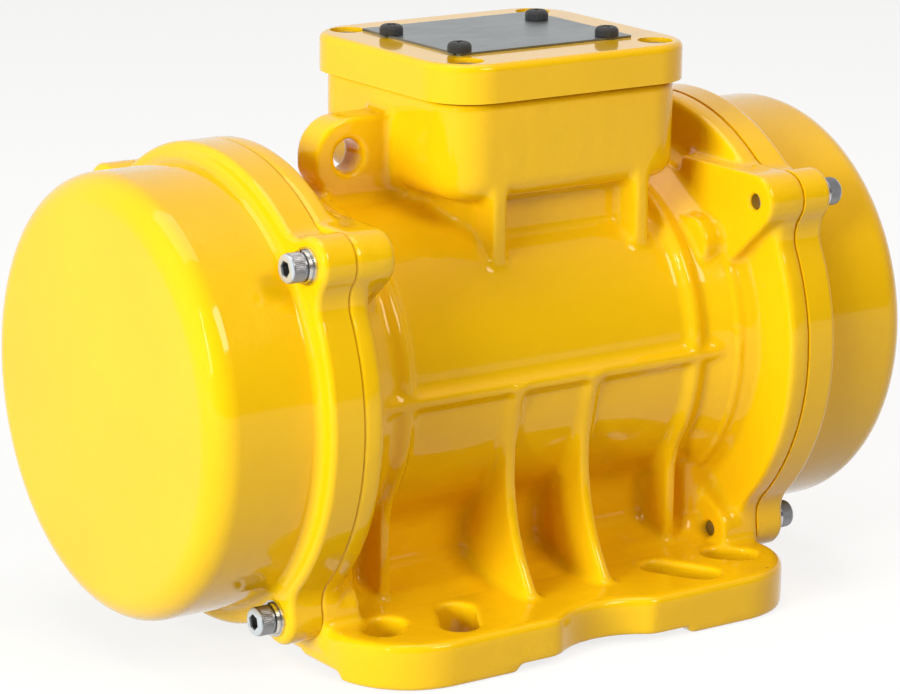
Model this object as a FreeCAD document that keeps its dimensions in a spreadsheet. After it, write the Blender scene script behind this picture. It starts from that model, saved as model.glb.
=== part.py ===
import FreeCAD, Part

import math
import os

import Sketcher
from FreeCAD import Placement, Rotation, Vector

# Twin-end vibration motor: an induction motor in a ribbed, foot-mounted casting, with unbalanced
# weights on both shaft ends under bolted covers. X runs along the shaft, Y across the feet and
# Z up. The origin is under the middle of the motor, on the plane that its feet stand on.
# Every sub-part is modelled about the shaft axis and then raised by axis_height.

doc = FreeCAD.newDocument("vibration_motor")

# ------------------------------------------------------------------ driving sizes (mm, degrees)
SIZES = (
    ("axis_height", 90.0, "shaft axis above the feet"),
    # casting: barrel, necks and end flanges
    ("stator_radius", 52.5, "outside of the stator pack, and the bore that it is pressed into"),
    ("body_wall", 6.0, "wall of the barrel round the stator"),
    ("body_half_length", 94.3, "middle of the motor to the face that the cover bolts to"),
    ("seat_shoulder", 8.5, "radial step from the stator bore to the seat of the bearing flange"),
    ("seat_depth", 16.0, "depth of that seat behind the cover face"),
    ("neck_wall", 6.5, "wall round the seat where the neck meets the end flange"),
    ("flange_radius", 83.3, "end flange and cover flange"),
    ("flange_thickness", 8.7, "end flange of the casting"),
    ("rim_round", 2.0, "rounding of the cast rims"),
    ("lobe_radius", 9.6, "lobes for the cover screws"),
    ("lobe_blend", 11.0, "hollow between a lobe and the rim"),
    ("lobe_depth", 15.8, "length of the tapped lobes behind the cover face"),
    ("upper_lobe_reach", 4.5, "upper screw centre outside the flange radius"),
    ("upper_lobe_angle", 38.9, "upper screw above the horizontal"),
    ("lower_lobe_reach", 2.0, "lower screw centre outside the flange radius"),
    ("lower_lobe_angle", 55.4, "lower screw below the horizontal"),
    ("web_angle", 42.0, "slope of the web from the upper lobe down to the neck"),
    ("lower_web_angle", 31.0, "slope of the top of the lower lobe"),
    ("fin_reach", 62.0, "side fin at shaft height, from the axis to its edge"),
    ("fin_thickness", 4.6, "side fin"),
    ("fin_round", 1.6, "edge of the side fin"),
    ("rib_thickness", 4.4, "ribs of the barrel"),
    ("rib_height", 3.0, "end ribs above the barrel"),
    ("rib_round", 1.0, "rounded top of the end ribs"),
    ("rib_root_round", 1.5, "hollow corners beside the end ribs"),
    ("end_rib_place", 61.7, "end ribs from the middle"),
    ("middle_rib_place", 16.0, "middle ribs from the middle"),
    ("middle_rib_hollow", 70.0, "radius of the hollow front edge of the middle ribs"),
    ("middle_rib_waist", 47.8, "where the tangents of that edge would cross, from the middle plane"),
    ("middle_rib_knee", 35.7, "that crossing below the axis"),
    ("middle_rib_foot", 72.0, "foot of the middle ribs from the middle plane"),
    ("boss_radius", 10.5, "bosses behind the bearing flange screws"),
    ("boss_length", 8.8, "those bosses behind the seat of the bearing flange"),
    ("thread_margin", 0.4, "tapped holes deeper than their screws"),
    # foot plate
    ("base_width", 185.2, "foot plate across the shaft"),
    ("base_thickness", 16.2, "foot plate with its pads"),
    ("base_setback", 1.3, "end of the foot plate inside the cover face"),
    ("base_corner", 30.0, "corners of the foot plate"),
    ("base_edge_round", 2.5, "upper edge of the foot plate"),
    ("notch_depth", 7.0, "relief in the long edges of the foot plate"),
    ("notch_radius", 31.0, "curve of that relief"),
    ("pad_relief", 2.6, "height of the hollow between the pads across the plate"),
    ("pad_gap", 74.0, "distance between the left and right pads"),
    ("core_relief", 4.0, "height of the hollow along the middle"),
    ("pad_width", 26.6, "pads across the plate"),
    ("pedestal_width", 86.0, "pedestal between the barrel and the foot plate"),
    ("pedestal_fillet", 10.0, "hollow corner at the foot of the pedestal"),
    ("end_rib_foot", 47.7, "foot of the end ribs from the middle plane"),
    ("slot_width", 13.0, "bolt slots of the feet, for M12"),
    ("inner_slot_place", 48.0, "inner slots from the middle, along the shaft"),
    ("inner_slot_inset", 21.1, "inner slots inside the long edges of the plate"),
    ("inner_slot_travel", 16.5, "inner slots between the centres of their ends"),
    ("inner_slot_angle", 60.0, "inner slots against the shaft"),
    ("outer_slot_end_inset", 18.5, "outer slots inside the ends of the plate"),
    ("outer_slot_inset", 26.1, "outer slots inside the long edges of the plate"),
    ("outer_slot_travel", 6.5, "outer slots between the centres of their ends"),
    ("outer_slot_angle", 45.0, "outer slots against the shaft"),
    # terminal box and lid
    ("box_offset", 17.0, "terminal box from the middle, along the shaft"),
    ("box_length", 101.0, "terminal box along the shaft"),
    ("box_width", 90.0, "terminal box across the shaft"),
    ("box_corner", 15.4, "corners of the terminal box"),
    ("box_lift", 2.5, "underside of the box above the barrel"),
    ("box_height", 34.6, "terminal box"),
    ("box_wall", 4.5, "walls of the terminal box"),
    ("box_floor", 5.0, "floor of the terminal box"),
    ("box_bottom_round", 8.0, "lower edge of the terminal box"),
    ("neck_inset", 10.0, "neck under the box inside its walls"),
    ("gusset_inset", 19.9, "middle of the gussets inside the ends of the box"),
    ("gusset_thickness", 6.0, "gussets under the box"),
    ("lid_overhang", 3.0, "lid outside the box walls"),
    ("lid_thickness", 13.4, "lid"),
    ("lid_edge_round", 2.5, "upper edge of the lid"),
    ("lid_recess_depth", 4.0, "recess in the underside of the lid"),
    ("lid_recess_wall", 2.7, "metal between that recess and the screw bosses"),
    ("lid_recess_lip", 2.5, "lid inside the walls of the box, beside that recess"),
    ("lid_screw_end_inset", 10.0, "lid screws inside the ends of the box"),
    ("lid_screw_side_inset", 8.2, "lid screws inside the sides of the box"),
    ("lid_screw_radius", 2.5, "lid screws, M5"),
    ("lid_sink_radius", 6.3, "counterbores for the lid screw heads"),
    ("lid_sink_depth", 4.2, "depth of those counterbores"),
    ("lid_screw_length", 18.0, "lid screws under the head"),
    ("lid_head_radius", 4.7, "heads of the lid screws"),
    ("lid_head_height", 2.9, "heads of the lid screws"),
    ("lid_head_round", 1.0, "edge of those heads"),
    ("recess_reach", 2.2, "crossed recess of a screw head, from its centre"),
    ("recess_width", 0.9, "arms of the crossed recess"),
    ("lid_boss_radius", 5.3, "screw bosses inside the terminal box"),
    ("gasket_thickness", 0.8, "gasket under the lid"),
    ("gasket_corner", 23.0, "inner corners of the gasket, inside the screw holes"),
    ("plate_length", 74.0, "data plate along the shaft"),
    ("plate_width", 61.0, "data plate across the shaft"),
    ("plate_shift", 2.5, "data plate off the middle plane"),
    ("plate_thickness", 0.8, "data plate"),
    ("plate_screw_left", 35.0, "left plate screws from the middle of the box"),
    ("plate_screw_right", 28.0, "right plate screws from the middle of the box"),
    ("plate_screw_front", 25.0, "front plate screws from the middle plane"),
    ("plate_screw_back", 17.0, "back plate screws from the middle plane"),
    ("plate_screw_radius", 2.0, "plate screws, M4"),
    ("plate_screw_length", 8.0, "plate screws under the head"),
    ("plate_head_radius", 4.2, "pan heads of the plate screws"),
    ("plate_head_height", 3.6, "pan heads of the plate screws"),
    ("plate_head_round", 1.8, "crown of the pan heads"),
    ("wire_hole_radius", 6.0, "hole for the wires from the box to the windings"),
    ("earth_end_inset", 14.5, "earth screw inside the end of the box"),
    ("earth_side_inset", 18.0, "earth screw inside the side of the box"),
    ("earth_screw_length", 3.6, "earth screw under the head"),
    ("block_shift", 8.0, "terminal block off the middle of the box"),
    ("block_length", 50.0, "terminal block along the shaft"),
    ("block_width", 36.0, "terminal block across the shaft"),
    ("block_height", 9.0, "terminal block"),
    ("barrier_thickness", 2.0, "barriers of the terminal block"),
    ("barrier_height", 9.0, "barriers above the block"),
    ("stud_radius", 2.5, "terminal studs, M5"),
    ("stud_height", 11.0, "terminal studs above the block"),
    ("nut_flats", 8.0, "terminal nuts, M5"),
    ("nut_height", 4.0, "terminal nuts, M5"),
    # lifting lug and cable entry
    ("lug_place", 50.6, "lifting hole from the middle, along the shaft"),
    ("lug_height", 74.3, "lifting hole above the axis"),
    ("lug_hole_radius", 6.2, "lifting hole"),
    ("lug_rim", 7.3, "metal round the lifting hole"),
    ("lug_thickness", 13.5, "lifting lug"),
    ("lug_shoulder_round", 8.0, "shoulder below the round of the lug"),
    ("entry_place", 2.5, "cable entry from the middle, along the shaft"),
    ("entry_height", 81.0, "cable entry above the axis"),
    ("entry_radius", 10.0, "cable entry thread, M20"),
    ("entry_boss_rim", 3.5, "metal round the cable entry"),
    ("entry_boss_height", 2.5, "boss of the cable entry outside the wall"),
    ("gland_nut_radius", 12.0, "cap nut of the cable gland"),
    ("gland_nut_length", 21.0, "cap nut of the cable gland"),
    ("gland_nut_round", 6.0, "dome of the cap nut"),
    ("gland_hex_length", 5.0, "collar of the gland body"),
    ("gland_seal_wall", 2.5, "seal inside the hole of the cap nut"),
    ("gland_seal_start", 8.4, "seal beyond the collar of the gland body"),
    ("gland_seal_length", 8.4, "seal of the gland"),
    ("gland_stub_wall", 2.0, "stub of the gland body outside that hole"),
    ("cable_radius", 4.5, "hole of the gland seal"),
    # weight covers
    ("cover_radius", 76.5, "cup of the weight cover"),
    ("cover_wall", 4.0, "wall of the weight cover"),
    ("cover_reach", 52.3, "cover from the bolted face to its end"),
    ("cover_end_round", 9.6, "rounded end of the cover"),
    ("cover_flange", 12.3, "flange of the cover"),
    ("cover_rim_round", 2.4, "outer edge of the cover flange"),
    ("cover_root_round", 3.0, "hollow corner between the flange and the cup"),
    ("seal_cord_radius", 1.3, "O-ring under the cover"),
    ("seal_squeeze", 0.1, "gap that keeps the ring clear of the groove walls"),
    ("cover_screw_radius", 3.0, "cover screws, M6"),
    ("cover_screw_length", 30.0, "cover screws under the head"),
    ("screw_head_radius", 5.0, "socket heads, M6"),
    ("screw_head_height", 6.0, "socket heads, M6"),
    ("hex_flats", 5.0, "key size of the socket heads"),
    ("screw_chamfer", 0.6, "tips of the socket head screws"),
    ("head_round", 0.6, "edges of the socket heads"),
    ("screw_play", 0.25, "clearance holes round their screws"),
    ("spring_washer_radius", 5.6, "spring washers"),
    ("spring_washer_thickness", 1.6, "spring washers"),
    ("split_width", 0.9, "split of the spring washers and retaining rings"),
    ("flat_washer_radius", 6.3, "flat washers"),
    ("flat_washer_thickness", 1.2, "flat washers"),
    # stator and rotor
    ("core_half_length", 40.0, "stator and rotor packs, half their length"),
    ("stator_bore", 32.5, "bore of the stator"),
    ("air_gap", 0.5, "rotor to stator"),
    ("winding_overhang", 18.0, "end turns beyond the stator pack"),
    ("winding_inner", 35.0, "end turns, inner radius"),
    ("winding_outer", 48.0, "end turns, outer radius"),
    ("winding_round", 4.5, "rounded ends of the end turns"),
    ("shaft_radius", 16.0, "shaft under the rotor pack"),
    ("cage_ring_length", 9.0, "end rings of the rotor cage"),
    ("cage_ring_wall", 10.0, "end rings of the rotor cage, radial"),
    ("cage_ring_inset", 2.3, "those rings inside the outside of the rotor pack"),
    # bearings
    ("bearing_bore", 12.5, "bearing 25 x 62 x 17, inner radius"),
    ("bearing_radius", 31.0, "bearing 25 x 62 x 17, outer radius"),
    ("bearing_width", 17.0, "bearing 25 x 62 x 17, width"),
    ("ball_radius", 5.5, "balls"),
    ("ball_count", 8.0, "balls in each bearing"),
    ("race_clearance", 0.3, "races and cage pockets round the balls"),
    ("race_wall", 5.0, "radial thickness of the inner ring and of the outer ring"),
    ("cage_thickness", 2.0, "ball cage"),
    ("cage_length", 15.0, "ball cage along the shaft"),
    ("flange_plate", 7.0, "bearing flange plate"),
    ("hub_wall", 9.0, "bearing flange hub round the bearing"),
    ("bearing_setback", 6.3, "bearing behind the cover face"),
    ("lip_length", 5.0, "inner lip that stops the bearing"),
    ("lip_height", 5.0, "inner lip, radial"),
    ("grease_cap_thickness", 3.0, "grease cap"),
    ("flange_screw_inset", 5.0, "bearing flange screws inside the edge of the flange"),
    ("flange_screw_angle", 40.0, "bearing flange screws from the horizontal"),
    ("flange_screw_radius", 2.5, "bearing flange screws, M5"),
    ("flange_screw_length", 14.0, "bearing flange screws under the head"),
    ("flange_head_radius", 4.25, "socket heads, M5"),
    ("flange_head_height", 5.0, "socket heads, M5"),
    ("flange_head_flats", 4.0, "key size of those heads"),
    ("cap_screw_radius", 2.0, "grease cap screws, M4"),
    ("cap_screw_length", 10.0, "grease cap screws under the head"),
    ("cap_head_radius", 3.5, "heads of the grease cap screws"),
    ("cap_head_height", 2.2, "heads of the grease cap screws"),
    ("cap_head_flats", 2.5, "key size of those heads"),
    ("spacer_wall", 5.0, "spacer between bearing and weight"),
    ("turning_play", 0.15, "play of the adjustable weights round the shaft and at the rings"),
    ("fit_clearance", 0.05, "radial play of screws and sliding fits"),
    ("running_clearance", 0.6, "play of turning parts next to fixed ones"),
    # unbalanced weights
    ("weight_seat_radius", 11.0, "shaft under the weights"),
    ("weight_thickness", 16.0, "each weight"),
    ("weight_gap", 1.7, "first weight beyond the cover face"),
    ("weight_spacing", 0.6, "between the fixed and the adjustable weight"),
    ("weight_clearance", 8.5, "weights to the inside of the cover"),
    ("weight_hub_radius", 21.0, "hub of the weights"),
    ("weight_flank_angle", 12.0, "flanks of the weights below the horizontal"),
    ("clamp_slit", 2.0, "slit of the adjustable weight"),
    ("clamp_height", 35.0, "clamp ears above the axis"),
    ("clamp_half_width", 11.0, "clamp ears from the middle plane"),
    ("clamp_screw_radius", 4.0, "clamp screw, M8"),
    ("clamp_screw_height", 27.0, "clamp screw above the axis"),
    ("clamp_head_radius", 6.5, "head of the clamp screw"),
    ("clamp_head_height", 8.0, "head of the clamp screw"),
    ("clamp_head_flats", 6.0, "key size of that head"),
    ("key_width", 6.0, "keys of the fixed weights"),
    ("key_height", 4.0, "keys of the fixed weights"),
    ("ring_thickness", 1.75, "retaining rings"),
    ("ring_height", 3.0, "retaining rings outside the shaft"),
    ("ring_groove_depth", 1.0, "grooves of the retaining rings"),
    ("shaft_tail", 3.0, "shaft beyond the retaining ring"),
)


class Size:
    """A length, angle or count with the spreadsheet formula that it comes from."""

    def __init__(self, value, formula):
        self.value = float(value)
        self.formula = formula

    def joined(self, sign, other, value):
        return Size(value, f"({self.formula} {sign} {other.formula})")

    def __add__(self, other):
        other = as_size(other)
        return self.joined("+", other, self.value + other.value)

    def __sub__(self, other):
        other = as_size(other)
        return self.joined("-", other, self.value - other.value)

    def __mul__(self, other):
        other = as_size(other)
        return self.joined("*", other, self.value * other.value)

    def __truediv__(self, other):
        other = as_size(other)
        return self.joined("/", other, self.value / other.value)

    def __radd__(self, other):
        return as_size(other) + self

    def __rsub__(self, other):
        return as_size(other) - self

    def __rmul__(self, other):
        return as_size(other) * self

    def __neg__(self):
        return as_size(0) - self


def as_size(number):
    """Takes a plain number into a formula."""
    if isinstance(number, Size):
        return number
    return Size(number, repr(float(number)))


def cosine(angle):
    return Size(math.cos(math.radians(angle.value)), f"cos({angle.formula} * 1 deg)")


def sine(angle):
    return Size(math.sin(math.radians(angle.value)), f"sin({angle.formula} * 1 deg)")


def tangent(angle):
    return Size(math.tan(math.radians(angle.value)), f"tan({angle.formula} * 1 deg)")


class Sheet:
    """The spreadsheet of driving sizes; each alias is an attribute."""

    def __init__(self, rows):
        cells = doc.addObject("Spreadsheet::Sheet", "Sizes")
        for row, (alias, value, note) in enumerate(rows, start=1):
            cells.set(f"A{row}", alias)
            cells.set(f"B{row}", repr(value))
            cells.set(f"C{row}", note)
            cells.setAlias(f"B{row}", alias)
            setattr(self, alias, Size(value, f"Sizes.{alias}"))


size = Sheet(SIZES)
doc.recompute()

LEFT, RIGHT = -1, 1
ENDS = ((LEFT, "left"), (RIGHT, "right"))
FRONT, BACK = -1, 1
SIDES = (FRONT, BACK)
STUD_COLUMNS = 3

# Places that several sub-parts share, measured from the shaft axis and the middle of the motor.
barrel_radius = size.stator_radius + size.body_wall
seat_radius = size.stator_radius + size.seat_shoulder
neck_radius = seat_radius + size.neck_wall
seat_face = size.body_half_length - size.seat_depth
flange_inner_face = size.body_half_length - size.flange_thickness
lobe_inner_face = size.body_half_length - size.lobe_depth
upper_reach = size.flange_radius + size.upper_lobe_reach
lower_reach = size.flange_radius + size.lower_lobe_reach
upper_screw = (upper_reach * cosine(size.upper_lobe_angle), upper_reach * sine(size.upper_lobe_angle))
lower_screw = (
    lower_reach * cosine(size.lower_lobe_angle),
    -(lower_reach * sine(size.lower_lobe_angle)),
)
base_bottom = -size.axis_height
base_top = base_bottom + size.base_thickness
base_half_length = size.body_half_length - size.base_setback
box_bottom = barrel_radius + size.box_lift
box_top = box_bottom + size.box_height
lid_screw_place = size.box_length / 2 - size.lid_screw_end_inset
lid_screw_side = size.box_width / 2 - size.lid_screw_side_inset
box_floor = box_bottom + size.box_floor
lid_bottom = box_top + size.gasket_thickness
lid_top = lid_bottom + size.lid_thickness
cover_flange_face = size.body_half_length + size.cover_flange
cover_bore = size.cover_radius - size.cover_wall
bearing_outer_face = size.body_half_length - size.bearing_setback
bearing_inner_face = bearing_outer_face - size.bearing_width
bearing_middle = (bearing_inner_face + bearing_outer_face) / 2
ball_circle = (size.bearing_bore + size.bearing_radius) / 2
spacer_radius = size.bearing_bore + size.spacer_wall
flange_screw_circle = seat_radius - size.flange_screw_inset
fixed_weight_face = size.body_half_length + size.weight_gap
adjustable_weight_face = fixed_weight_face + size.weight_thickness + size.weight_spacing
ring_face = adjustable_weight_face + size.weight_thickness + size.turning_play
shaft_end = ring_face + size.ring_thickness + size.shaft_tail
seal_circle = size.cover_radius + size.seal_cord_radius + size.seal_squeeze
wire_hole_place = size.core_half_length + size.winding_overhang / 2
earth_spot = (
    size.box_offset - size.box_length / 2 + size.earth_end_inset,
    size.earth_side_inset - size.box_width / 2,
)


def screw_spots():
    """Centres of the cover screws, (across, up) from the shaft axis."""
    return [(side * screw[0], screw[1]) for side in SIDES for screw in (upper_screw, lower_screw)]


def flange_screw_spots():
    """Centres of the bearing flange screws, (across, up) from the shaft axis."""
    across = flange_screw_circle * cosine(size.flange_screw_angle)
    up = flange_screw_circle * sine(size.flange_screw_angle)
    return [(side * across, level * up) for side in SIDES for level in (-1, 1)]


# ------------------------------------------------------------------ sketches and features
def set_place(item, along, across, up, heading=0):
    """Puts an object at a place measured from the shaft axis, turned about the upright."""
    spot = (as_size(along), as_size(across), as_size(up) + size.axis_height)
    turned = Rotation(Vector(0, 0, 1), heading)
    item.Placement = Placement(Vector(*(value.value for value in spot)), turned)
    for letter, value in zip("xyz", spot):
        item.setExpression(f"Placement.Base.{letter}", value.formula)


def region(label):
    """A body in the frame of the casting that it becomes part of."""
    body = doc.addObject("PartDesign::Body", label)
    body.Label = label
    return body


def new_body(label, along=0, across=0, up=0):
    """A body of its own, placed from the shaft axis."""
    body = region(label)
    set_place(body, along, across, up)
    return body


def sketch_on(body, plane, offset=0):
    """A sketch on one of the body's own planes; offset follows the plane's third axis."""
    sketch = body.newObject("Sketcher::SketchObject", f"{body.Label}_sketch")
    role = f"{plane}_Plane"
    origin_plane = next(item for item in body.Origin.OriginFeatures if item.Role == role)
    sketch.AttachmentSupport = (origin_plane, "")
    sketch.MapMode = "FlatFace"
    offset = as_size(offset)
    along_normal = -offset if plane == "XZ" else offset
    sketch.AttachmentOffset = Placement(Vector(0, 0, along_normal.value), Rotation())
    sketch.setExpression("AttachmentOffset.Base.z", along_normal.formula)
    return sketch


def place_point(sketch, geometry, point, across, up):
    """Dimensions a point from the origin of its sketch."""
    for kind, target in (("DistanceX", as_size(across)), ("DistanceY", as_size(up))):
        index = sketch.addConstraint(
            Sketcher.Constraint(kind, -1, 1, geometry, point, target.value)
        )
        sketch.setExpression(f"Constraints[{index}]", target.formula)


def set_radius(sketch, geometry, radius):
    index = sketch.addConstraint(Sketcher.Constraint("Radius", geometry, radius.value))
    sketch.setExpression(f"Constraints[{index}]", radius.formula)


def arc_between(centre, radius, start, end):
    """The shorter arc of a circle between two points, counterclockwise; tells if it was turned."""
    first = math.atan2(start.y - centre.y, start.x - centre.x)
    last = math.atan2(end.y - centre.y, end.x - centre.x)
    turned = (last - first) % (2 * math.pi) > math.pi
    if turned:
        first, last = last, first
    if last < first:
        last += 2 * math.pi
    circle = Part.Circle(centre, Vector(0, 0, 1), radius)
    return Part.ArcOfCircle(circle, first, last), turned


def outline(sketch, corners):
    """A closed outline through (across, up) or (across, up, radius) corners."""
    points = [Vector(as_size(c[0]).value, as_size(c[1]).value, 0) for c in corners]
    radii = [as_size(c[2]) if len(c) > 2 else None for c in corners]
    count = len(corners)
    arrive, leave, centres = [], [], []
    for index, (point, radius) in enumerate(zip(points, radii)):
        if radius is None:
            arrive.append(point)
            leave.append(point)
            centres.append(None)
            continue
        back = (points[index - 1] - point).normalize()
        ahead = (points[(index + 1) % count] - point).normalize()
        half = back.getAngle(ahead) / 2
        reach = radius.value / math.tan(half)
        arrive.append(point + back * reach)
        leave.append(point + ahead * reach)
        bisector = (back + ahead).normalize()
        centres.append(point + bisector * (radius.value / math.sin(half)))
    lines = [
        sketch.addGeometry(Part.LineSegment(leave[i], arrive[(i + 1) % count]), False)
        for i in range(count)
    ]
    for index, radius in enumerate(radii):
        before, after = lines[index - 1], lines[index]
        across, up = corners[index][0], corners[index][1]
        if radius is None:
            sketch.addConstraint(Sketcher.Constraint("Coincident", before, 2, after, 1))
            place_point(sketch, after, 1, across, up)
            continue
        arc, turned = arc_between(centres[index], radius.value, arrive[index], leave[index])
        bend = sketch.addGeometry(arc, False)
        first, last = (2, 1) if turned else (1, 2)
        corner = sketch.addGeometry(Part.Point(points[index]), True)
        sketch.addConstraint(Sketcher.Constraint("Tangent", before, 2, bend, first))
        sketch.addConstraint(Sketcher.Constraint("Tangent", bend, last, after, 1))
        sketch.addConstraint(Sketcher.Constraint("PointOnObject", corner, 1, before))
        sketch.addConstraint(Sketcher.Constraint("PointOnObject", corner, 1, after))
        place_point(sketch, corner, 1, across, up)
        set_radius(sketch, bend, radius)


def circle(sketch, across, up, radius):
    centre = Vector(as_size(across).value, as_size(up).value, 0)
    radius = as_size(radius)
    ring = sketch.addGeometry(Part.Circle(centre, Vector(0, 0, 1), radius.value), False)
    place_point(sketch, ring, 3, across, up)
    set_radius(sketch, ring, radius)


def rectangle(sketch, left, right, low, high, corner=None):
    """An upright rectangle, rounded where a corner radius is given."""
    spots = ((left, low), (right, low), (right, high), (left, high))
    outline(sketch, [spot if corner is None else (*spot, corner) for spot in spots])


def slot(sketch, across, up, travel, width, slope, mirror_across, mirror_up):
    """A slot about a centre, its axis at a slope that mirrors with the corner it serves."""
    half = travel / 2
    lean = (half * cosine(slope), half * sine(slope))
    ends = [
        (mirror_across * (across + sign * lean[0]), mirror_up * (up + sign * lean[1]))
        for sign in (-1, 1)
    ]
    spots = [Vector(a.value, u.value, 0) for a, u in ends]
    along = (spots[1] - spots[0]).normalize()
    beside = Vector(-along.y, along.x, 0)
    radius = width / 2
    reach = beside * radius.value
    near, far = spots
    first = sketch.addGeometry(Part.LineSegment(near - reach, far - reach), False)
    second = sketch.addGeometry(Part.LineSegment(far + reach, near + reach), False)
    angle = math.atan2(along.y, along.x)
    quarter = math.pi / 2
    caps = []
    for spot, start in ((far, angle - quarter), (near, angle + quarter)):
        ring = Part.Circle(spot, Vector(0, 0, 1), radius.value)
        caps.append(sketch.addGeometry(Part.ArcOfCircle(ring, start, start + math.pi), False))
    sketch.addConstraint(Sketcher.Constraint("Tangent", first, 2, caps[0], 1))
    sketch.addConstraint(Sketcher.Constraint("Tangent", caps[0], 2, second, 1))
    sketch.addConstraint(Sketcher.Constraint("Tangent", second, 2, caps[1], 1))
    sketch.addConstraint(Sketcher.Constraint("Tangent", caps[1], 2, first, 1))
    set_radius(sketch, caps[0], radius)
    place_point(sketch, caps[0], 3, *ends[1])
    place_point(sketch, caps[1], 3, *ends[0])


def lobed_outline(sketch, rim, lobes, lobe_radius, blend):
    """A round flange whose lobes run into the rim through hollow blends."""
    origin = Vector(0, 0, 0)
    spots = [(as_size(a), as_size(u)) for a, u in lobes]
    spots.sort(key=lambda spot: math.atan2(spot[1].value, spot[0].value))
    arcs, joints = [], []
    for across, up in spots:
        centre = Vector(across.value, up.value, 0)
        distance = centre.Length
        long_side = rim.value + blend.value
        short_side = lobe_radius.value + blend.value
        cosine_at_axis = (long_side**2 + distance**2 - short_side**2) / (2 * long_side * distance)
        swing = math.acos(cosine_at_axis)
        facing = math.atan2(centre.y, centre.x)
        blends = [
            Vector(long_side * math.cos(facing + turn), long_side * math.sin(facing + turn), 0)
            for turn in (-swing, swing)
        ]
        for spot, kind in ((blends[0], "blend"), (centre, "lobe"), (blends[1], "blend")):
            arcs.append([kind, spot, (across, up)])
        arcs.append(["rim", origin, None])
    radius_of = {"blend": blend, "lobe": lobe_radius, "rim": rim}
    count = len(arcs)
    for index, (kind, centre, _) in enumerate(arcs):
        other_kind, other_centre, _ = arcs[(index + 1) % count]
        blend_centre, pivot = (centre, other_centre) if kind == "blend" else (other_centre, centre)
        pivot_radius = radius_of[other_kind if kind == "blend" else kind].value
        joints.append(pivot + (blend_centre - pivot).normalize() * pivot_radius)
    shapes = []
    for index, (kind, centre, place) in enumerate(arcs):
        start, end = joints[index - 1], joints[index]
        radius = radius_of[kind]
        if kind == "blend":
            arc, turned = arc_between(centre, radius.value, start, end)
        else:
            first = math.atan2(start.y - centre.y, start.x - centre.x)
            last = math.atan2(end.y - centre.y, end.x - centre.x)
            sweep = (last - first) % (2 * math.pi)
            ring = Part.Circle(centre, Vector(0, 0, 1), radius.value)
            arc, turned = Part.ArcOfCircle(ring, first, first + sweep), False
        geometry = sketch.addGeometry(arc, False)
        shapes.append((geometry, turned))
        set_radius(sketch, geometry, radius)
        if kind == "lobe":
            place_point(sketch, geometry, 3, *place)
        if kind == "rim":
            place_point(sketch, geometry, 3, 0, 0)
    for index, (geometry, turned) in enumerate(shapes):
        follower, follower_turned = shapes[(index + 1) % count]
        end = 1 if turned else 2
        start = 2 if follower_turned else 1
        sketch.addConstraint(Sketcher.Constraint("Tangent", geometry, end, follower, start))


def extrude(kind, sketch, length, reverse=False, both_ways=False):
    body = sketch.getParentGeoFeatureGroup()
    feature = body.newObject(f"PartDesign::{kind}", f"{body.Label}_{kind.lower()}")
    feature.Profile = sketch
    feature.SideType = "Symmetric" if both_ways else "One side"
    feature.Reversed = reverse
    if length is None:
        feature.Type = "ThroughAll"
    else:
        length = as_size(length)
        feature.Length = length.value
        feature.setExpression("Length", length.formula)
    return feature


def pad(sketch, length, reverse=False, both_ways=False):
    """Adds material along the plane's normal: +X, -Y or +Z, or against it when reversed."""
    return extrude("Pad", sketch, length, reverse, both_ways)


def pocket(sketch, length=None, reverse=False, both_ways=False):
    """Cuts against the plane's normal, or along it when reversed; through all without a length."""
    return extrude("Pocket", sketch, length, reverse, both_ways)


def turn(kind, sketch, axis):
    body = sketch.getParentGeoFeatureGroup()
    feature = body.newObject(f"PartDesign::{kind}", f"{body.Label}_{kind.lower()}")
    feature.Profile = sketch
    feature.ReferenceAxis = (sketch, [axis])
    feature.Angle = 360
    return feature


def revolve(sketch, axis="H_Axis"):
    return turn("Revolution", sketch, axis)


def groove(sketch, axis="H_Axis"):
    return turn("Groove", sketch, axis)


def fillet(body, radius, wanted):
    """Rounds the edges of the body's last feature that the test picks."""
    doc.recompute()
    base = body.Tip
    names = [
        f"Edge{number}"
        for number, edge in enumerate(base.Shape.Edges, start=1)
        if wanted(edge)
    ]
    rounding = body.newObject("PartDesign::Fillet", f"{body.Label}_fillet")
    rounding.Base = (base, names)
    rounding.Radius = radius.value
    rounding.setExpression("Radius", radius.formula)
    return rounding


def polar_pattern(body, feature, axis_sketch, count):
    """Repeats a feature about the shaft axis."""
    pattern = body.newObject("PartDesign::PolarPattern", f"{body.Label}_pattern")
    pattern.Originals = [feature]
    pattern.Axis = (axis_sketch, ["H_Axis"])
    pattern.Angle = 360
    pattern.Occurrences = int(count.value)
    pattern.setExpression("Occurrences", count.formula)
    body.Tip = pattern
    return pattern


def in_plane(edge, axis, place, tolerance=0.01):
    """Whether an edge lies in the plane across an axis (0, 1 or 2) at a place."""
    box = edge.BoundBox
    low = (box.XMin, box.YMin, box.ZMin)[axis]
    high = (box.XMax, box.YMax, box.ZMax)[axis]
    return abs(low - place) < tolerance and abs(high - place) < tolerance


def axis_distance(edge):
    """How far an edge starts from the shaft axis."""
    start = edge.Vertexes[0].Point
    return math.hypot(start.y, start.z)


def turned_part(label, corners):
    """A part of revolution about the shaft axis, from (along, radius) corners."""
    body = new_body(label)
    section = sketch_on(body, "XZ")
    outline(section, corners)
    revolve(section)
    return body


def fuse_in(body, other):
    """Joins a body modelled apart to the casting that it is part of."""
    doc.recompute()
    union = body.newObject("PartDesign::Boolean", f"{body.Label}_union")
    union.Type = "Fuse"
    union.setObjects([other])
    return union


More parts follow.
